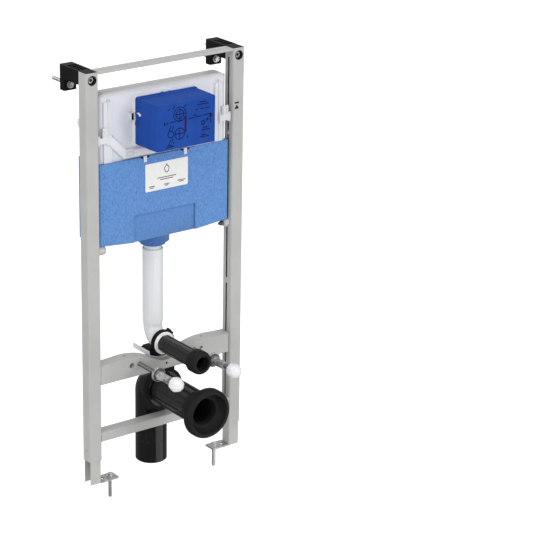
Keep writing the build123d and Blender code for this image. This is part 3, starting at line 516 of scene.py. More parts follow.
def hexagon(bm, flats, thick, centre, axis, edge=0.5, roll=0.0):
    part = bmesh.new()
    radius = flats / math.sqrt(3)
    bmesh.ops.create_cone(part, cap_ends=True, segments=6, radius1=radius, radius2=radius, depth=thick)
    soften(part, [e for e in part.edges if abs(e.verts[0].co.z - e.verts[1].co.z) < 1e-5], edge)
    part.transform(aim(centre, axis, roll))
    join(bm, part)


def drawFace(part, points, y):
    return part.faces.new([part.verts.new((x, y, z)) for x, z in points])


def pullOut(part, faces, depth):
    grown = bmesh.ops.extrude_face_region(part, geom=faces)["geom"]
    bmesh.ops.translate(part, verts=[v for v in grown if isinstance(v, bmesh.types.BMVert)], vec=(0, depth, 0))
    bmesh.ops.recalc_face_normals(part, faces=part.faces)


def outlined(bm, points, low, high, frontRound=0.0):
    # a flat outline pulled out along Y from low to high, with its front edges rounded if asked
    part = bmesh.new()
    pullOut(part, [drawFace(part, points, low)], high - low)
    if frontRound:
        soften(part, [e for e in part.edges if all(v.co.y < low + 0.1 for v in e.verts)], frontRound, 6)
    join(bm, part)


def rounded(left, right, low, high, corner, steps=5):
    # outline of a rectangle with round corners
    points = []
    for x, z, start in ((right - corner, high - corner, 0), (left + corner, high - corner, 1),
                        (left + corner, low + corner, 2), (right - corner, low + corner, 3)):
        for n in range(steps + 1):
            turn = (start + n / steps) * math.pi / 2
            points.append((x + corner * math.cos(turn), z + corner * math.sin(turn)))
    return points


def rim(bm, points, wide, low, high):
    # a flat frame of the given width inside an outline, pulled out along Y
    part = bmesh.new()
    face = drawFace(part, points, low)
    face.normal_update()
    bmesh.ops.inset_region(part, faces=[face], thickness=wide, use_boundary=True, use_even_offset=True)
    bmesh.ops.delete(part, geom=[face], context="FACES_ONLY")
    pullOut(part, list(part.faces), high - low)
    join(bm, part)


def copyNode(name, merge=0.01):
    bm = bmesh.new()
    bm.from_mesh(nodes[name].data)
    bm.transform(toRow.inverted())
    bmesh.ops.remove_doubles(bm, verts=bm.verts, dist=merge)
    return bm


def settle(bm, name, finish, replaced=None, smooth=34.0, soft=None):
    bm.transform(toRow)
    mesh = bpy.data.meshes.new(name)
    bm.to_mesh(mesh)
    bm.free()
    for polygon in mesh.polygons:
        polygon.use_smooth = True
    mesh.set_sharp_from_angle(angle=math.radians(smooth))
    mesh.materials.append(materials[finish])
    piece = bpy.data.objects.new(name, mesh)
    bpy.context.scene.collection.objects.link(piece)
    if soft:
        edges = piece.modifiers.new("softEdges", "BEVEL")
        edges.width, edges.segments, edges.limit_method = soft["width"], soft["segments"], "ANGLE"
        edges.angle_limit = math.radians(soft["over"])
    even = piece.modifiers.new("evenNormals", "WEIGHTED_NORMAL")
    even.keep_sharp = True
    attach(piece, "frame")
    if replaced:
        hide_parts(replaced)


# pieces

def makeStuds():
    stud = dict(x=90.0, z=322.0, radius=6.0, depth=0.75, pitch=1.75, tip=-172.0, back=18.0,
                nutFlats=18.0, nutThick=8.0, nutAt=10.0)
    for side, way in sides:
        bm = bmesh.new()
        x, z = way * stud["x"], stud["z"]
        thread(bm, stud["radius"], stud["depth"], stud["pitch"], stud["back"] - stud["tip"],
               (x, stud["tip"], z), rearward)
        hexagon(bm, stud["nutFlats"], stud["nutThick"], (x, stud["nutAt"], z), rearward)
        settle(bm, side + "_threaded_stud", "darkSteel", replaced=side + "_stud")


def makeCaps():
    # a soft eight-sided cap, domed like a pebble: shares of the radius, and how far from its tip or its foot
    cap = dict(x=90.0, z=322.0, radius=20.6, length=36.0, tips={"left": -195.5, "right": -205.5}, sidesRound=8,
               dome=((0.0, 0.0), (0.42, 1.5), (0.78, 7.0), (0.97, 15.0), (1.0, 22.0)),
               foot=((0.95, 6.0), (0.8, 1.0), (0.55, 0.0), (0.5, 5.0), (0.5, 14.0), (0.0, 14.0)))
    shape = [(cap["radius"] * share, cap["length"] - down) for share, down in cap["dome"]]
    shape += [(cap["radius"] * share, height) for share, height in cap["foot"]]
    for side, way in sides:
        bm = bmesh.new()
        base = (way * cap["x"], cap["tips"][side] + cap["length"], cap["z"])
        turned(bm, shape, base, forward, cap["sidesRound"], roll=0.2)
        settle(bm, side + "_faceted_cap", "capPlastic", replaced=side + "_stud_cap",
               smooth=14.0, soft=dict(width=0.0009, segments=2, over=12))


def makeWallScrews():
    screw = dict(x=231.0, z=1097.8, radius=5.0, depth=0.6, pitch=1.5, start=104.0, end=188.5,
                 headFlats=13.0, headThick=6.0, washer=10.0, washerThick=1.6)
    for side, way in sides:
        bm = bmesh.new()
        x, z, face = way * screw["x"], screw["z"], screw["start"]
        thread(bm, screw["radius"], screw["depth"], screw["pitch"], screw["end"] - face, (x, face, z), rearward)
        disc(bm, screw["washer"], screw["washerThick"], (x, face, z), forward, 32)
        hexagon(bm, screw["headFlats"], screw["headThick"],
                (x, face - screw["washerThick"] - screw["headThick"] / 2, z), forward, roll=0.3)
        settle(bm, side + "_wall_bolt", "brightZinc", replaced=side + "_wall_screw")


def makePostCups():
    # black cup pressed into the post's hole; the adjusting screw's head lies deep in it, with a black disc as
    # painted shade in its socket
    cup = dict(x=231.0, z=1130.0, outer=12.9, inner=12.1, front=0.2, deep=5.9)
    head = dict(outer=8.4, inner=4.4, front=6.6, back=7.95, socket=7.5)
    for side, way in sides:
        spot = (way * cup["x"], 0.0, cup["z"])
        bm = bmesh.new()
        o, i, f, d = cup["outer"], cup["inner"], cup["front"], cup["deep"]
        turned(bm, [(o, f), (i + 0.3, f), (i, f + 0.5), (i, d), (o, d)], spot, rearward, 40)
        settle(bm, side + "_cup", "blackMoulding")
        bm = bmesh.new()
        o, i, f, d = head["outer"], head["inner"], head["front"], head["back"]
        shape = [(0, d), (o, d), (o, f + 0.6), (o - 0.8, f), (i + 0.5, f), (i, f + 0.5), (i, d - 0.2), (0, d - 0.2)]
        turned(bm, shape, spot, rearward, 32)
        settle(bm, side + "_socket_screw", "brightZinc")
        bm = bmesh.new()
        # painted shade: a black disc at the bottom of the head's socket
        disc(bm, i - 0.1, 0.2, (spot[0], head["socket"], spot[2]), rearward, 6)
        settle(bm, side + "_socket_shade", "blackInkAndShade")


def makeInserts():
    # threaded inserts pressed into the crossbar's two pan holes
    insert = dict(x=115.0, z=322.0, outer=6.4, flange=7.6, inner=4.4, deep=15.0, flangeThick=0.8, turns=9)
    o, r, i, t = insert["outer"], insert["flange"], insert["inner"], insert["flangeThick"]
    end = insert["deep"] - 1.0
    pitch = end / insert["turns"]
    shape = [(o, insert["deep"]), (o, 0.0), (r, 0.0), (r - 0.3, -t), (i + 0.5, -t)]
    for n in range(insert["turns"]):
        shape += [(i, n * pitch), (i + 0.5, (n + 0.5) * pitch)]
    shape += [(i, end)]
    bm = bmesh.new()
    for way in (-1, 1):
        turned(bm, shape, (way * insert["x"], 0.0, insert["z"]), rearward, 24)
    settle(bm, "pan_hole_inserts", "brightZinc")


inkRaised, inkSunk = 0.12, 0.02


def patch(bm, x0, x1, z0, z1, face):
    # a thin rectangle of ink on the plane y = face
    block(bm, (x0, face - inkRaised, z0), (x1, face + inkSunk, z1))


def stroke(bm, start, end, width, face):
    (x0, z0), (x1, z1) = start, end
    length = math.hypot(x1 - x0, z1 - z0) + width * 0.6
    turn = Matrix.Rotation(-math.atan2(z1 - z0, x1 - x0), 3, "Y")
    middle = Vector(((x0 + x1) / 2, face - inkRaised / 2, (z0 + z1) / 2))
    half = Vector((length / 2, (inkRaised + inkSunk) / 2, width / 2))
    block(bm, middle - half, middle + half, turn=turn)


def ring(bm, points, width, face):
    # a closed line of the given width, lying on the plane y = face
    for start, end in zip(points, points[1:] + points[:1]):
        stroke(bm, start, end, width, face)


def circle(x, z, radius, count=20):
    turns = [n * math.tau / count for n in range(count)]
    return [(x + radius * math.cos(turn), z + radius * math.sin(turn)) for turn in turns]


def makeLabel():
    # a plain label, with a drop and plain rules where such labels carry print
    label = dict(x=(-63.0, 73.0), z=(799.0, 875.5), face=9.0, thick=0.35, sunk=0.3, corner=2.0, rule=1.1)
    drop = dict(x=5.0, z=853.0, wide=7.0, tall=9.0, pinch=0.25, tip=4.5, count=24, line=2.0)
    rules = ((5.0, 832.0, 60.0), (5.0, 826.5, 42.0), (-43.0, 812.0, 18.0), (-43.0, 808.0, 12.0),
             (5.0, 812.0, 18.0), (5.0, 808.0, 10.0), (52.0, 815.0, 26.0), (52.0, 811.0, 14.0))
    bm = bmesh.new()
    (x0, x1), (z0, z1), c = label["x"], label["z"], label["corner"]
    outline = [(x0 + c, z0), (x1 - c, z0), (x1, z0 + c), (x1, z1 - c),
               (x1 - c, z1), (x0 + c, z1), (x0, z1 - c), (x0, z0 + c)]
    top = label["face"] - label["thick"]
    outlined(bm, outline, top, label["face"] + label["sunk"])
    settle(bm, "jacket_label", "labelPaper")
    ink = bmesh.new()
    points = []
    for n in range(drop["count"]):
        turn = n * math.tau / drop["count"]
        tip = drop["tip"] if abs(turn - math.pi) < 0.1 else 0
        points.append((drop["x"] + drop["wide"] * math.sin(turn) * (1.0 - drop["pinch"] * math.cos(turn)),
                       drop["z"] - drop["tall"] * math.cos(turn) + tip))
    ring(ink, points, drop["line"], top)
    for x, z, wide in rules:
        patch(ink, x - wide / 2, x + wide / 2, z - label["rule"], z + label["rule"], top)
    settle(ink, "label_print", "greyInk")


def makeShroudPrint():
    # plain fitting pictures in dark ink: dials, a dashed height line, tool shapes and a red depth bar
    sheet = dict(face=-89.0, line=2.3, dial=2.0, dot=1.5, dotRadius=2.0, bar=(-7.0, -0.5, 980.0, 1022.0))
    tick = dict(x=52.0, z=950.0, long=2.4, step=4.4, count=9, line=1.2)
    dials = ((-22.0, 1030.0, 19.0), (-22.0, 1030.0, 12.0), (-22.0, 978.0, 15.0), (-50.0, 980.0, 9.0),
             (52.0, 996.0, 5.0))
    dots = ((26.0, 1020.0), (66.0, 1002.0), (2.0, 966.0))
    lines = ((-70, 1010, -58, 1011), (-52, 1011, -36, 1012), (-30, 1012, -12, 1013), (6, 1013, 22, 1014),
             (28, 1014, 46, 1015), (52, 1015, 78, 1017), (-22, 1016, -22, 1044), (-36, 1030, -8, 1030),
             (-22, 966, -22, 990), (-34, 978, -10, 978), (-70, 1006, -70, 1014), (-50, 966, -56, 952),
             (-44, 968, -42, 954), (-56, 990, -48, 1002), (-44, 992, -40, 1002), (-8, 1048, 0, 1054),
             (-44, 1046, -38, 1054), (34, 1046, 68, 1046), (40, 1052, 60, 1052), (28, 1034, 34, 1034),
             (44, 1034, 54, 1034), (60, 1034, 72, 1034), (48, 976, 72, 976), (52, 982, 68, 982),
             (42, 958, 70, 958), (46, 963, 62, 963), (76, 992, 76, 1016), (71, 1008, 76, 1016),
             (81, 1008, 76, 1016), (-64, 946, -42, 947), (-60, 950, -46, 951), (62, 1000, 66, 1006),
             (-60, 1046, -54, 1046))
    face = sheet["face"]
    ink = bmesh.new()
    for x, z, radius in dials:
        ring(ink, circle(x, z, radius), sheet["dial"], face)
    for x0, z0, x1, z1 in lines:
        stroke(ink, (x0, z0), (x1, z1), sheet["line"], face)
    for n in range(tick["count"]):
        x, z = tick["x"], tick["z"] + n * tick["step"]
        stroke(ink, (x, z), (x, z + tick["long"]), tick["line"], face)
    for x, z in dots:
        ring(ink, circle(x, z, sheet["dotRadius"], 8), sheet["dot"], face)
    settle(ink, "shroud_pictures", "navyInkAndShade")
    red = bmesh.new()
    patch(red, *sheet["bar"], face)
    settle(red, "shroud_depth_bar", "redInk")


def makeShroud():
    # a drafted box with soft front corners, open at the back, on a thin flange; round lugs at its sides
    shroud = dict(half=93.0, front=-88.9, back=3.5, low=938.0, high=1062.0, draft=0.3, corner=6.5, brow=2.5,
                  browDeep=12.0, wall=2.2)
    flange = dict(past=3.6, below=1.5, corner=7.0, wide=5.0, front=-1.4, back=4.8)
    lug = dict(radius=5.0, half=4.0, edge=0.6, x=92.0, y=-1.0, places=((996.0, 4.0), (1029.0, 1.0)))
    front, back, low, high = shroud["front"], shroud["back"], shroud["low"], shroud["high"]
    bm = bmesh.new()
    part = bmesh.new()
    bmesh.ops.create_cube(part, size=1.0)
    bmesh.ops.scale(part, verts=part.verts, vec=(2 * shroud["half"], back - front, high - low))
    bmesh.ops.translate(part, verts=part.verts, vec=(0, (back + front) / 2, (high + low) / 2))
    for v in part.verts:
        if v.co.y < 0:
            v.co.x -= math.copysign(shroud["draft"], v.co.x)
    bmesh.ops.delete(part, geom=[f for f in part.faces if f.normal.y > 0.9], context="FACES")
    upright = [e for e in part.edges if all(v.co.y < 0 for v in e.verts)
               and abs(e.verts[0].co.x - e.verts[1].co.x) < 1]
    soften(part, upright, shroud["corner"], 8)
    browEdges = [e for e in part.edges if all(v.co.y < front + shroud["browDeep"] for v in e.verts)
                 and len(e.link_faces) == 2 and e.calc_face_angle() > 1.0
                 and abs(e.verts[0].co.z - e.verts[1].co.z) < 1e-3]
    soften(part, browEdges, shroud["brow"], 4)
    bmesh.ops.solidify(part, geom=list(part.faces), thickness=shroud["wall"])
    bmesh.ops.recalc_face_normals(part, faces=part.faces)
    join(bm, part)
    half = shroud["half"] + flange["past"]
    rim(bm, rounded(-half, half, low - flange["below"], high + flange["past"], flange["corner"]),
        flange["wide"], flange["front"], flange["back"])
    r, h, e = lug["radius"], lug["half"], lug["edge"]
    for way in (-1, 1):
        for z, reach in lug["places"]:
            turned(bm, [(0, -h), (r - e, -h), (r, e - h), (r, h - e), (r - e, h), (0, h)],
                   (way * (lug["x"] + reach), lug["y"], z), upward, 20)
    settle(bm, "moulded_shroud", "blueMoulding", replaced="access_shroud")


def makeShroudTrim():
    # small lugs along the shroud's top edge
    lug = dict(y=(-1.0, 4.4), low=1061.0, edge=0.8, rows=((-16.7, -10.7, 1067.6), (6.0, 11.0, 1067.4)))
    bm = bmesh.new()
    for x0, x1, high in lug["rows"]:
        blocks(bm, ((x0, x1), lug["y"], (lug["low"], high), lug["edge"]))
    settle(bm, "shroud_lugs", "blueMoulding")


def makeLevelMark():
    mark = dict(x=225.6, dash=(14.6, 4.4, 1000.5), arrow=(7.8, 12.0, 983.6))
    bm = bmesh.new()
    x, (wide, thick, z) = mark["x"], mark["dash"]
    patch(bm, x - wide / 2, x + wide / 2, z - thick / 2, z + thick / 2, 0.0)
    half, tall, foot = mark["arrow"]
    outlined(bm, [(x - half, foot), (x + half, foot), (x, foot + tall)], -inkRaised, inkSunk)
    settle(bm, "level_mark", "blackInkAndShade")


def makeTankClips():
    # the tank hangs from the posts by two moulded brackets with a raised tongue
    clip = dict(inner=174.5, outer=211.5, low=948.5, tongue={"left": (178.5, 195.5), "right": (183.5, 204.5)})
    for side, way in sides:
        bm = bmesh.new()
        inner, outer, low = clip["inner"], clip["outer"], clip["low"]
        t0, t1 = mirrored(way, *clip["tongue"][side])
        blocks(bm, (mirrored(way, inner, outer), (6.4, 12.6), (low + 6, low + 22), 1.0),
               ((t0, t1), (7.4, 12.6), (low + 12, low + 47), 1.4),
               ((t0 + 3, t0 + 6), (6.2, 9.0), (low + 20, low + 44), 0.7),
               ((t1 - 6, t1 - 3), (6.2, 9.0), (low + 20, low + 44), 0.7),
               ((t0 + 2, t1 - 2), (6.1, 8.0), (low + 40, low + 43), 0.6),
               (mirrored(way, inner + 1, inner + 7), (8.4, 12.6), (low, low + 30), 1.0),
               (mirrored(way, outer - 8, outer), (7.0, 12.6), (low + 2, low + 28), 1.0))
        settle(bm, side + "_tank_bracket", "whiteMoulding", replaced=side + "_cistern_clip")


def makeTank():
    # the frame's own tank, its thin ridge pressed flat where the round channel lies, and its edges softened
    tank = dict(ridgeFront=11.0, wallFront=17.0, low=900.0, high=975.0, shoulder=1045.0, rise=6.0, wider=1.03)
    bm = copyNode("cistern")
    for v in bm.verts:
        if abs(v.co.y - tank["ridgeFront"]) < 0.4 and tank["low"] < v.co.z < tank["high"]:
            v.co.y = tank["wallFront"]
        if v.co.z > tank["shoulder"]:
            v.co.z += tank["rise"]
    bmesh.ops.scale(bm, verts=bm.verts, vec=(tank["wider"], 1.0, 1.0))
    bmesh.ops.dissolve_degenerate(bm, edges=bm.edges, dist=0.01)
    bmesh.ops.dissolve_limit(bm, angle_limit=math.radians(1.0), verts=bm.verts, edges=bm.edges,
                             use_dissolve_boundaries=False)
    bmesh.ops.recalc_face_normals(bm, faces=bm.faces)
    settle(bm, "moulded_tank", "tankPlastic", replaced="cistern", smooth=30.0,
           soft=dict(width=0.0016, segments=3, over=38))


def makeTankBack():
    # stiffening ribs on the tank's back, and the ribbed nut on its water inlet
    back = dict(face=104.0, proud=2.2, sunk=1.0, half=3.0, low=906.0, high=1022.0, edge=1.2,
                ribs=(-120.0, -72.0, -24.0, 24.0, 72.0, 120.0), bar=((-150.0, 150.0), (1020.0, 1026.0)))
    nut = dict(x=-180.0, z=988.0, radius=19.0, bore=8.0, thick=10.0, edge=0.8, off=0.5, count=16,
               grip=(0.9, 4.0, 0.9), gripEdge=0.3)
    depth = (back["face"] - back["sunk"], back["face"] + back["proud"])
    bm = bmesh.new()
    for x in back["ribs"]:
        blocks(bm, ((x - back["half"], x + back["half"]), depth, (back["low"], back["high"]), back["edge"]))
    blocks(bm, (back["bar"][0], depth, back["bar"][1], back["edge"]))
    settle(bm, "tank_back_ribs", "tankPlastic")
    bm = bmesh.new()
    x, z, r, b, t, e = (nut[key] for key in ("x", "z", "radius", "bore", "thick", "edge"))
    face, half = back["face"] + nut["off"], Vector(nut["grip"])
    turned(bm, [(b, 0.0), (r - e, 0.0), (r, e), (r, t - e), (r - e, t), (b, t)], (x, face, z), rearward, 40)
    for n in range(nut["count"]):
        turn = n * math.tau / nut["count"]
        middle = Vector((x + r * math.cos(turn), face + t / 2, z + r * math.sin(turn)))
        block(bm, middle - half, middle + half, nut["gripEdge"], turn=Matrix.Rotation(-turn, 3, "Y"))
    settle(bm, "inlet_nut", "whiteMoulding")


def makeBarMarks():
    # painted shade: thin black discs on the crossbar's top flange stand for its small punched holes
    mark = dict(x=127.0, y=20.0, z=345.85, radius=2.6, tall=0.25)
    bm = bmesh.new()
    for way in (-1, 1):
        disc(bm, mark["radius"], mark["tall"], (way * mark["x"], mark["y"], mark["z"]), upward, 20)
    settle(bm, "crossbar_hole_shade", "blackInkAndShade")


def makeJacket():
    # the frame's own jacket with a shorter wide collar, and the narrow lip under it
    foam = dict(collarEnd=633.0, lift=9.0, back=112.5, deeper=5.0)
    lip = dict(radius=34.5, low=629.8, high=643.0, bore=24.2, y=68.0, notches=9, start=0.35, wide=2.2, tall=3.2,
               short=0.8, edge=1.2, lifts=(3.0, 1.5))
    bm = copyNode("insulation_jacket")
    for v in bm.verts:
        if v.co.z < foam["collarEnd"]:
            v.co.z += foam["lift"]
        if v.co.y > foam["back"]:
            v.co.y += foam["deeper"]
    bmesh.ops.recalc_face_normals(bm, faces=bm.faces)
    settle(bm, "moulded_jacket", "foamBlue", replaced="insulation_jacket", smooth=30.0)
    bm = bmesh.new()
    r, low, high, bore, y = (lip[key] for key in ("radius", "low", "high", "bore", "y"))
    turned(bm, [(bore, low), (r - 2.0, low), (r, low + 1.6), (r, high), (bore, high)], (0, y, 0), steps=48)
    half = Vector((lip["wide"], lip["tall"], (high - low) / 2 - lip["short"]))
    for n in range(lip["notches"]):
        turn = n * math.tau / lip["notches"] + lip["start"]
        spot = Vector((r * math.cos(turn), y + r * math.sin(turn), (low + high) / 2 + lip["lifts"][n % 2]))
        block(bm, spot - half, spot + half, lip["edge"], turn=Matrix.Rotation(turn, 3, "Z"))
    settle(bm, "collar_lip", "foamBlue")


def makeSleeve():
    # the flush pipe's outer tube: an open top edge round the neck, fine rings under it
    tube = dict(y=68.0, outer=27.9, inner=25.0, foot=26.1, low=399.0, high=617.0, taper=9.0, rings=(22.0, 16.0))
    o, i, low, high = tube["outer"], tube["inner"], tube["low"], tube["high"]
    shape = [(i, low), (tube["foot"], low), (o, low + tube["taper"])]
    for z in (high - down for down in tube["rings"]):
        shape += [(o, z - 1.2), (o - 0.5, z - 0.5), (o - 0.5, z + 0.5), (o, z + 1.2)]
    shape += [(o, high - 6.0), (o + 0.5, high - 4.0), (o + 0.5, high - 0.6), (o, high), (o - 1.2, high),
              (i + 0.8, high - 4.0), (i, high - 5.0)]
    bm = bmesh.new()
    turned(bm, shape, (0, tube["y"], 0), steps=64)
    settle(bm, "flush_pipe_sleeve", "flushPlastic")


def makeStubs():
    # short round-nosed stubs in the posts' slots, which carry the jacket's corners
    stub = dict(x=212.0, y=20.0, z=661.9, radius=12.8, lengths={"left": 27.0, "right": 14.0}, neck=6.0)
    bolt = dict(radius=4.2, depth=0.6, pitch=1.4, end=29.0, nutFlats=13.0, nutThick=4.5, nutAt=5.0)
    n = stub["neck"]
    for side, way in sides:
        bm = bmesh.new()
        r, l, inward = stub["radius"], stub["lengths"][side], (-way, 0, 0)
        x, y, z = way * stub["x"], stub["y"], stub["z"]
        shape = [(0, -n), (n, -n), (n, 0.1), (r - 0.6, 0.1), (r, 0.7), (r, l - 9.0), (r - 0.9, l - 8.4),
                 (r - 0.9, l - 7.4), (r, l - 6.8), (r - 0.6, l - 4.0), (r - 3.0, l - 1.2), (r - 6.0, l), (0, l)]
        turned(bm, shape, (x, y, z), inward, 40)
        settle(bm, side + "_round_stub", "greyMoulding", replaced=side + "_support_stub")
        if l < bolt["end"] - 6:
            bm = bmesh.new()
            thread(bm, bolt["radius"], bolt["depth"], bolt["pitch"], bolt["end"] - l,
                   (way * (stub["x"] - l), y, z), inward)
            hexagon(bm, bolt["nutFlats"], bolt["nutThick"], (way * (stub["x"] - l - bolt["nutAt"]), y, z), inward)
            settle(bm, side + "_stub_bolt", "darkSteel")


def makePanSeal():
    # rubber pan seal: the rim folds forward into a lip, the shallow funnel and two thin lips in its bore
    seal = dict(z=222.0, outer=69.0, rimBack=-178.0, cuff=49.1, cuffFront=-148.0, back=-140.0, grip=45.1,
                seat=-152.1, bore=37.2, boreEnd=-160.0, boreLips=(-161.6, -170.0), lipDeep=1.6, throat=-177.2)
    funnel = ((44.0, -178.6), (50.0, -184.0), (53.6, -191.0), (55.0, -197.0), (55.4, -200.0))
    fold = ((56.4, -201.6), (57.8, -202.0), (62.4, -201.1), (66.2, -198.6), (68.3, -195.4), (68.9, -192.0))
    o, b, t, d = seal["outer"], seal["bore"], seal["throat"], seal["lipDeep"]
    shape = [(b, seal["seat"]), (b, seal["boreEnd"])]
    for y in seal["boreLips"]:
        shape += [(b, y + d), (b - d, y + 0.4), (b - d, y - 0.4), (b, y - d)]
    shape += [(b, t + 1.6), (b + 0.6, t + 0.4), (b + 1.8, t), *funnel, *fold, (o, -189.0), (o, seal["rimBack"]),
              (seal["cuff"], seal["cuffFront"]), (seal["cuff"], seal["back"]),
              (seal["grip"], seal["back"]), (seal["grip"], seal["seat"])]
    bm = bmesh.new()
    turned(bm, shape, (0, 0, seal["z"]), rearward, 72)
    settle(bm, "moulded_pan_seal", "blackRubber", replaced="waste_seal", smooth=24.0)


def makeWasteBend():
    # swept waste bend: upright spigot with its stop groove, the bend itself, and the beaded socket
    pipe = dict(y=77.0, z=222.0, radius=44.0, wall=3.5, turn=24.0, low=-8.0, edge=2.0, groove=(54.0, 57.0),
                deep=0.8)
    socket = dict(radius=52.0, front=12.0, back=46.0, mouth=42.3, groove=(30.0, 36.0), deep=2.4, slope=1.2)
    r, s, wall = pipe["radius"], socket["radius"], pipe["radius"] - pipe["wall"]
    top, back = pipe["z"] - pipe["turn"], pipe["y"] - pipe["turn"]
    bm = bmesh.new()
    foot, edge, deep, (low, high) = pipe["low"], pipe["edge"], r - pipe["deep"], pipe["groove"]
    turned(bm, [(wall, foot), (r - edge, foot), (r, foot + edge), (r, low), (deep, low), (deep, high), (r, high),
                (r, top), (wall, top)], (0, pipe["y"], 0), steps=64)
    part = bmesh.new()
    for radius in (r, wall):
        bmesh.ops.create_circle(part, segments=64, radius=radius, matrix=Matrix.Translation((0, pipe["y"], top)))
    start = part.edges[:]
    spun = bmesh.ops.spin(part, geom=part.verts[:] + start, cent=(0, back, top), axis=(1, 0, 0), dvec=(0, 0, 0),
                          angle=math.pi / 2, steps=10)
    bmesh.ops.bridge_loops(part, edges=start)
    bmesh.ops.bridge_loops(part, edges=[item for item in spun["geom_last"] if isinstance(item, bmesh.types.BMEdge)])
    bmesh.ops.recalc_face_normals(part, faces=part.faces)
    join(bm, part)
    front, rear, mouth, (low, high) = socket["front"], socket["back"], socket["mouth"], socket["groove"]
    seat, deep, slope = rear - pipe["wall"], s - socket["deep"], socket["slope"]
    turned(bm, [(wall, back), (r, back), (r, rear), (s - 1.0, rear), (s, rear - 1.0), (s, high),
                (deep, high - slope), (deep, low + slope), (s, low), (s, front + 1.0), (s - 1.0, front),
                (mouth, front), (mouth, seat), (wall, seat)], (0, 0, pipe["z"]), rearward, 64)
    settle(bm, "swept_waste_bend", "wastePipe", replaced="waste_elbow")


def makeCradle():
    # the white cradle, its front end kept back behind the clamp
    front = 20.0
    bm = copyNode("elbow_support", merge=0.001)
    bmesh.ops.bisect_plane(bm, geom=bm.verts[:] + bm.edges[:] + bm.faces[:], dist=1e-4, plane_co=(0, front, 0),
                           plane_no=rearward, clear_inner=True)
    bmesh.ops.holes_fill(bm, edges=[edge for edge in bm.edges if edge.is_boundary], sides=0)
    bmesh.ops.recalc_face_normals(bm, faces=bm.faces)
    settle(bm, "elbow_cradle", "whiteMoulding", replaced="elbow_support")


def makeJacketBack():
    # two raised pads and a lifting rib moulded on the foam's back
    pad = dict(y=(115.0, 119.0), z=(700.0, 870.0), edge=1.6, spans=((-180.0, -30.0), (30.0, 180.0), (-12.0, 12.0)))
    (y0, y1), (z0, z1) = pad["y"], pad["z"]
    bm = bmesh.new()
    for x0, x1 in pad["spans"]:
        block(bm, (x0, y0, z0), (x1, y1, z1), pad["edge"], 3)
    settle(bm, "jacket_back_pads", "foamBlue")


def makeTankTrim():
    # raised ribs beside the rims, a moulded date field and screw bosses on the tank's front
    rib = dict(half=1.2, back=17.4, high=1070.0, rows=((-175.5, 976.0, 11.6), (-168.0, 976.0, 15.2),
                                                       (168.0, 906.0, 15.2), (175.5, 906.0, 11.6)))
    field = dict(x=(-123.0, -101.0), y=(7.2, 8.6), z=(909.0, 919.0), line=1.2)
    boss = dict(x=84.0, y=4.2, z=1057.0, shape=((5.4, 2.0), (5.4, 0.4), (5.0, 0.0), (3.2, 0.0), (2.8, 0.6),
                                                (0.0, 0.9)))
    bm = bmesh.new()
    for x, low, front in rib["rows"]:
        blocks(bm, ((x - rib["half"], x + rib["half"]), (front, rib["back"]), (low, rib["high"]), 0.6))
    hoop(bm, field["x"], field["y"], field["z"], field["line"], 0.3)
    for way in (-1, 1):
        turned(bm, boss["shape"], (way * boss["x"], boss["y"], boss["z"]), rearward, 20)
    settle(bm, "tank_trim", "tankPlastic")


def makeConduit():
    # half-round channel moulded on the tank, from the left bracket down and along under the shroud
    channel = dict(front=8.4, back=18.5, curve=5.0)
    outline = [(-184, 974), (-168.5, 974.5), (-118, 926), (96, 926), (96, 902), (-129.5, 902), (-178.5, 950),
               (-184, 950)]
    bm = bmesh.new()
    outlined(bm, outline, channel["front"], channel["back"], channel["curve"])
    settle(bm, "tank_conduit", "tankPlastic")


def makeSpringClips():
    # white spring clips beside the shroud: a looped bracket and a tongue that lies on the shroud's side
    clip = dict(z=(1003.0, 1025.0), reach=(97.0, 109.0), y=(6.0, 17.0), wall=2.0, edge=0.7,
                fill=(11.0, 17.0), hollow=(8.6, 11.4))
    foot = dict(reach=(93.5, 99.0), y=(5.0, 12.0), z=(1019.0, 1026.0), edge=1.0)
    band = dict(inner=1.4, outer=1.2, overlap=0.6, below=2.6, above=2.4, edge=1.1)
    tongue = ((6.5, 1024.0, 97.6), (0.0, 1024.5, 95.0), (-8.0, 1024.0, 94.8), (-13.0, 1022.6, 95.2),
              (-17.5, 1020.6, 96.2))
    (z0, z1), w, edge = clip["z"], clip["wall"], clip["edge"]
    bm = bmesh.new()
    dark = bmesh.new()
    for way in (-1, 1):
        x0, x1 = mirrored(way, *clip["reach"])
        hoop(bm, (x0, x1), clip["y"], clip["z"], w, edge)
        blocks(bm, ((x0 + 1, x1 - 1), clip["fill"], (z0 + 1, z1 - 1), edge))
        # painted shade: a black block fills each clip's loop, where its hollow lies in shade
        blocks(dark, ((x0 + w, x1 - w), clip["hollow"], (z0 + w, z1 - w), 0.0))
        for (ya, za, xa), (yb, zb, xb) in zip(tongue, tongue[1:]):
            blocks(bm, (mirrored(way, xa - band["inner"], xb + band["outer"]),
                        (yb - band["overlap"], ya + band["overlap"]),
                        (min(za, zb) - band["below"], max(za, zb) + band["above"]), band["edge"]))
        blocks(bm, (mirrored(way, *foot["reach"]), foot["y"], foot["z"], foot["edge"]))
    settle(bm, "spring_clips", "whiteMoulding", replaced="shroud_clips")
    settle(dark, "spring_clip_hollow_shade", "blackInkAndShade")


def makeHookNotchShadows():
    # painted shadow: dark navy slivers on the foam's top edge beside each hook, where the gaps there lie in shadow
    notch = dict(hook=64.0, aside=9.6, top=(4.2, 898.3), foot=(3.0, 894.6), y=(8.75, 12.0))
    (wide, high), (slim, low) = notch["top"], notch["foot"]
    bm = bmesh.new()
    for x in (-notch["hook"], notch["hook"]):
        for way in (-1, 1):
            middle = x + way * notch["aside"]
            outlined(bm, [(middle - wide, high), (middle - slim, low), (middle + slim, low), (middle + wide, high)],
                     *notch["y"])
    settle(bm, "hook_notch_shadows", "navyInkAndShade")


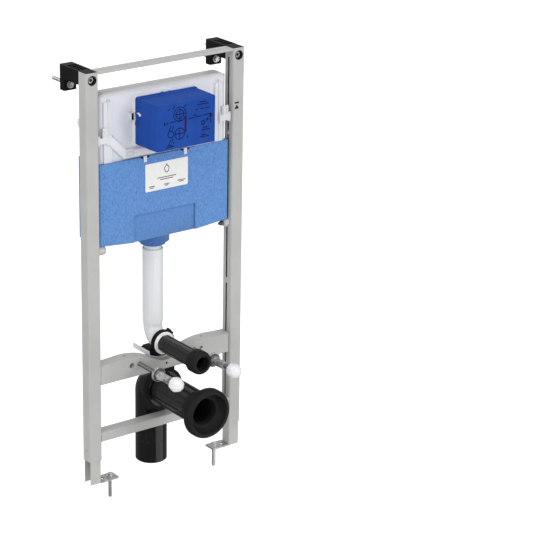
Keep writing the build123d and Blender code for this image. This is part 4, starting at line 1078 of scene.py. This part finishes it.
def makeSealRing():
    # white lip seal squeezed between the clamp and the connector
    seal = dict(z=357.0, outer=31.8, inner=22.8, front=9.0, back=24.0, body=30.0, bodyFront=13.4)
    o, i, f, b, s, t = (seal[key] for key in ("outer", "inner", "front", "back", "body", "bodyFront"))
    bm = bmesh.new()
    turned(bm, [(i, b), (i, f + 0.6), (i + 0.6, f), (i + 3.4, f), (i + 4.2, f + 0.9), (i + 5.0, f + 0.3),
                (o - 1.2, f + 0.3), (o, f + 1.5), (o, t), (s, t), (s, b)], (0, 0, seal["z"]), rearward, 64)
    settle(bm, "flush_lip_seal", "sealingWhite", replaced="flush_seal_ring")


def makeStudNuts():
    # a bright-edged washer with a dark face, then a clear nut in two steps on each sleeve
    washer = dict(radius=20.0, hole=11.2, back=-91.2, thick=2.2, face=18.3, seal=0.7)
    nut = dict(x=90.0, z=322.0, flats=24.0, back=-93.2, length=10.0, edge=1.6, roll=0.35, neck=11.8)
    cone = dict(flats=19.6, length=8.0, gap=2.0, edge=1.4, roll=0.9)
    o, i, t, f, s = (washer[key] for key in ("radius", "hole", "thick", "face", "seal"))
    front, c = nut["back"] - nut["length"], nut["neck"]
    for side, way in sides:
        x, z = way * nut["x"], nut["z"]
        bm = bmesh.new()
        turned(bm, [(i, 0), (o - 0.5, 0), (o, 0.5), (o, t + 0.6), (o - 0.5, t + 1.1), (f + 0.5, t + 1.1),
                    (f, t + 0.6), (f, t), (i, t)], (x, washer["back"], z), forward, 48)
        settle(bm, side + "_washer", "brightZinc")
        bm = bmesh.new()
        turned(bm, [(i, 0), (f - 0.1, 0), (f - 0.1, s), (i, s)], (x, washer["back"] - t + 0.1, z), forward, 48)
        settle(bm, side + "_washer_seal", "dimRubber")
        bm = bmesh.new()
        hexagon(bm, nut["flats"], nut["length"], (x, nut["back"] - nut["length"] / 2, z), forward,
                nut["edge"], nut["roll"])
        turned(bm, [(0, -1.0), (c, -1.0), (c + 0.8, 0.6), (c, 2.2), (0, 2.2)], (x, front, z), forward, 10)
        hexagon(bm, cone["flats"], cone["length"], (x, front - cone["gap"] - cone["length"] / 2, z), forward,
                cone["edge"], cone["roll"])
        settle(bm, side + "_clear_nut", "clearNut", replaced=side + "_stud_nut")


def makePipeRings():
    # fine collars where the flush pipe pushes into the tank's outlet
    collar = dict(y=68.0, deep=1.0, slope=0.2,
                  rows=((612.0, 26.0, 1.0), (617.0, 25.2, 0.7), (640.0, 23.9, 0.8), (630.0, 23.9, 0.6)))
    bm = bmesh.new()
    for z, r, half in collar["rows"]:
        inner, brow = r - collar["deep"], r - collar["slope"]
        turned(bm, [(inner, -half), (brow, -half), (r, 0.0), (brow, half), (inner, half)],
               (0, collar["y"], z), steps=48)
    settle(bm, "flush_pipe_rings", "flushPlastic")


makers = (makeStuds, makeBarMarks, makeWasteBend, makeCradle, makeCaps, makeWallScrews, makePostCups, makeInserts,
          makeShroud, makeShroudPrint, makeShroudTrim, makeLevelMark, makeTank, makeTankBack, makeJacket,
          makeJacketBack, makeSleeve, makeStubs, makePanSeal, makeTankClips, makeTankTrim, makeConduit,
          makeSpringClips, makeHookNotchShadows, makeSealRing, makeStudNuts, makePipeRings, makeLabel)


# camera, lamps and stage

def makeCamera():
    view = dict(aim=(-5.81, 20.0, 577.28), turn=-34.49, rise=20.08, distance=5783.63, lens=145.6, shift=0.198)
    turn, rise = math.radians(view["turn"]), math.radians(view["rise"])
    back = Vector((math.sin(turn) * math.cos(rise), -math.cos(turn) * math.cos(rise), math.sin(rise)))
    camera = bpy.data.objects.new("camera", bpy.data.cameras.new("camera"))
    bpy.context.scene.collection.objects.link(camera)
    camera.location = at(*view["aim"]) + back * view["distance"] / 1000
    camera.rotation_euler = (-back).to_track_quat("-Z", "Y").to_euler()
    camera.data.lens = view["lens"]
    camera.data.shift_x = view["shift"]
    camera.data.clip_start = 0.1
    camera.data.clip_end = 100.0
    bpy.context.scene.camera = camera


def makeLamps():
    lamps = {
        "keyLamp": dict(towards=(-0.33, 0.85, -0.34), strength=0.84, softness=26),
        "topLamp": dict(towards=(0.05, 0.15, -1.0), strength=0.91, softness=50),
        "sideLamp": dict(towards=(0.9, 0.35, -0.25), strength=1.40, softness=60),
        "rightLamp": dict(towards=(-0.8, 0.45, -0.45), strength=0.2, softness=60),
        "backLamp": dict(towards=(-0.2, -0.85, -0.5), strength=0.35, softness=60),
    }
    for name, lamp in lamps.items():
        light = bpy.data.lights.new(name, "SUN")
        light.energy = lamp["strength"]
        light.angle = math.radians(lamp["softness"])
        holder = bpy.data.objects.new(name, light)
        holder.rotation_euler = Vector(lamp["towards"]).to_track_quat("-Z", "Y").to_euler()
        bpy.context.scene.collection.objects.link(holder)


def makeWorld():
    air = dict(seen=(1.0, 1.0, 1.0, 1.0), light=(0.465, 0.468, 0.47, 1.0), gloss=(0.26, 0.26, 0.265, 1.0))
    world = bpy.data.worlds.new("studio")
    world.use_nodes = True
    tree = world.node_tree
    rays = put(tree, "LightPath").outputs
    seen = maths(tree, "MAXIMUM", rays["Is Camera Ray"], rays["Is Transmission Ray"])
    colour = mixColour(tree, rays["Is Glossy Ray"], mixColour(tree, seen, air["light"], air["seen"]), air["gloss"])
    send(tree, tree.nodes["Background"].inputs, Color=colour)
    bpy.context.scene.world = world


def makeFloor():
    # the camera sees a pale floor; gloss sees it dim, with one strip in front of the waste pipe that glows for
    # gloss rays alone, a painted light that the pipe shows as a highlight band
    ground = dict(size=30.0, level=-195.0, colour=(0.8, 0.8, 0.8, 1.0), lift=0.42, dim=(0.22, 0.22, 0.22, 1.0))
    strip = dict(start=(0.0, 77.0), turn=29.0, inner=0.50, outer=0.60, bright=0.95)
    bm = bmesh.new()
    bmesh.ops.create_grid(bm, x_segments=4, y_segments=4, size=ground["size"])
    bmesh.ops.translate(bm, verts=bm.verts, vec=at(0, 0, ground["level"]))
    mesh = bpy.data.meshes.new("floor")
    bm.to_mesh(mesh)
    bm.free()
    floor = bpy.data.objects.new("floor", mesh)
    bpy.context.scene.collection.objects.link(floor)
    tree, shader = startMaterial("paleFloor", Roughness=0.9, Specular_IOR_Level=0.0)
    rays = put(tree, "LightPath").outputs
    across, into = objectAxes(tree)[:2]
    start = at(*strip["start"], 0)
    sine, cosine = math.sin(math.radians(strip["turn"])), math.cos(math.radians(strip["turn"]))
    right, back = minus(tree, across, start.x), minus(tree, into, start.y)
    ahead = minus(tree, times(tree, right, sine), times(tree, back, cosine))
    aside = plus(tree, times(tree, right, cosine), times(tree, back, sine))
    slant = maths(tree, "DIVIDE", maths(tree, "ABSOLUTE", aside), maths(tree, "MAXIMUM", ahead, 0.001))
    # painted light: the strip glows for gloss rays only
    band = times(tree, spread(tree, slant, strip["outer"], strip["inner"]), strip["bright"])
    glow = plus(tree, times(tree, rays["Is Camera Ray"], ground["lift"]), times(tree, rays["Is Glossy Ray"], band))
    colour = mixColour(tree, rays["Is Glossy Ray"], ground["colour"], ground["dim"])
    send(tree, shader.inputs, Base_Color=colour, Emission_Strength=glow)
    mesh.materials.append(materials["paleFloor"])


makeCamera()
makeLamps()
makeWorld()
makeFloor()
bpy.context.scene.view_settings.view_transform = "Standard"
print("camera, lamps and floor are up")

for make in makers:
    make()
print("added pieces:", len(makers), "makers run")
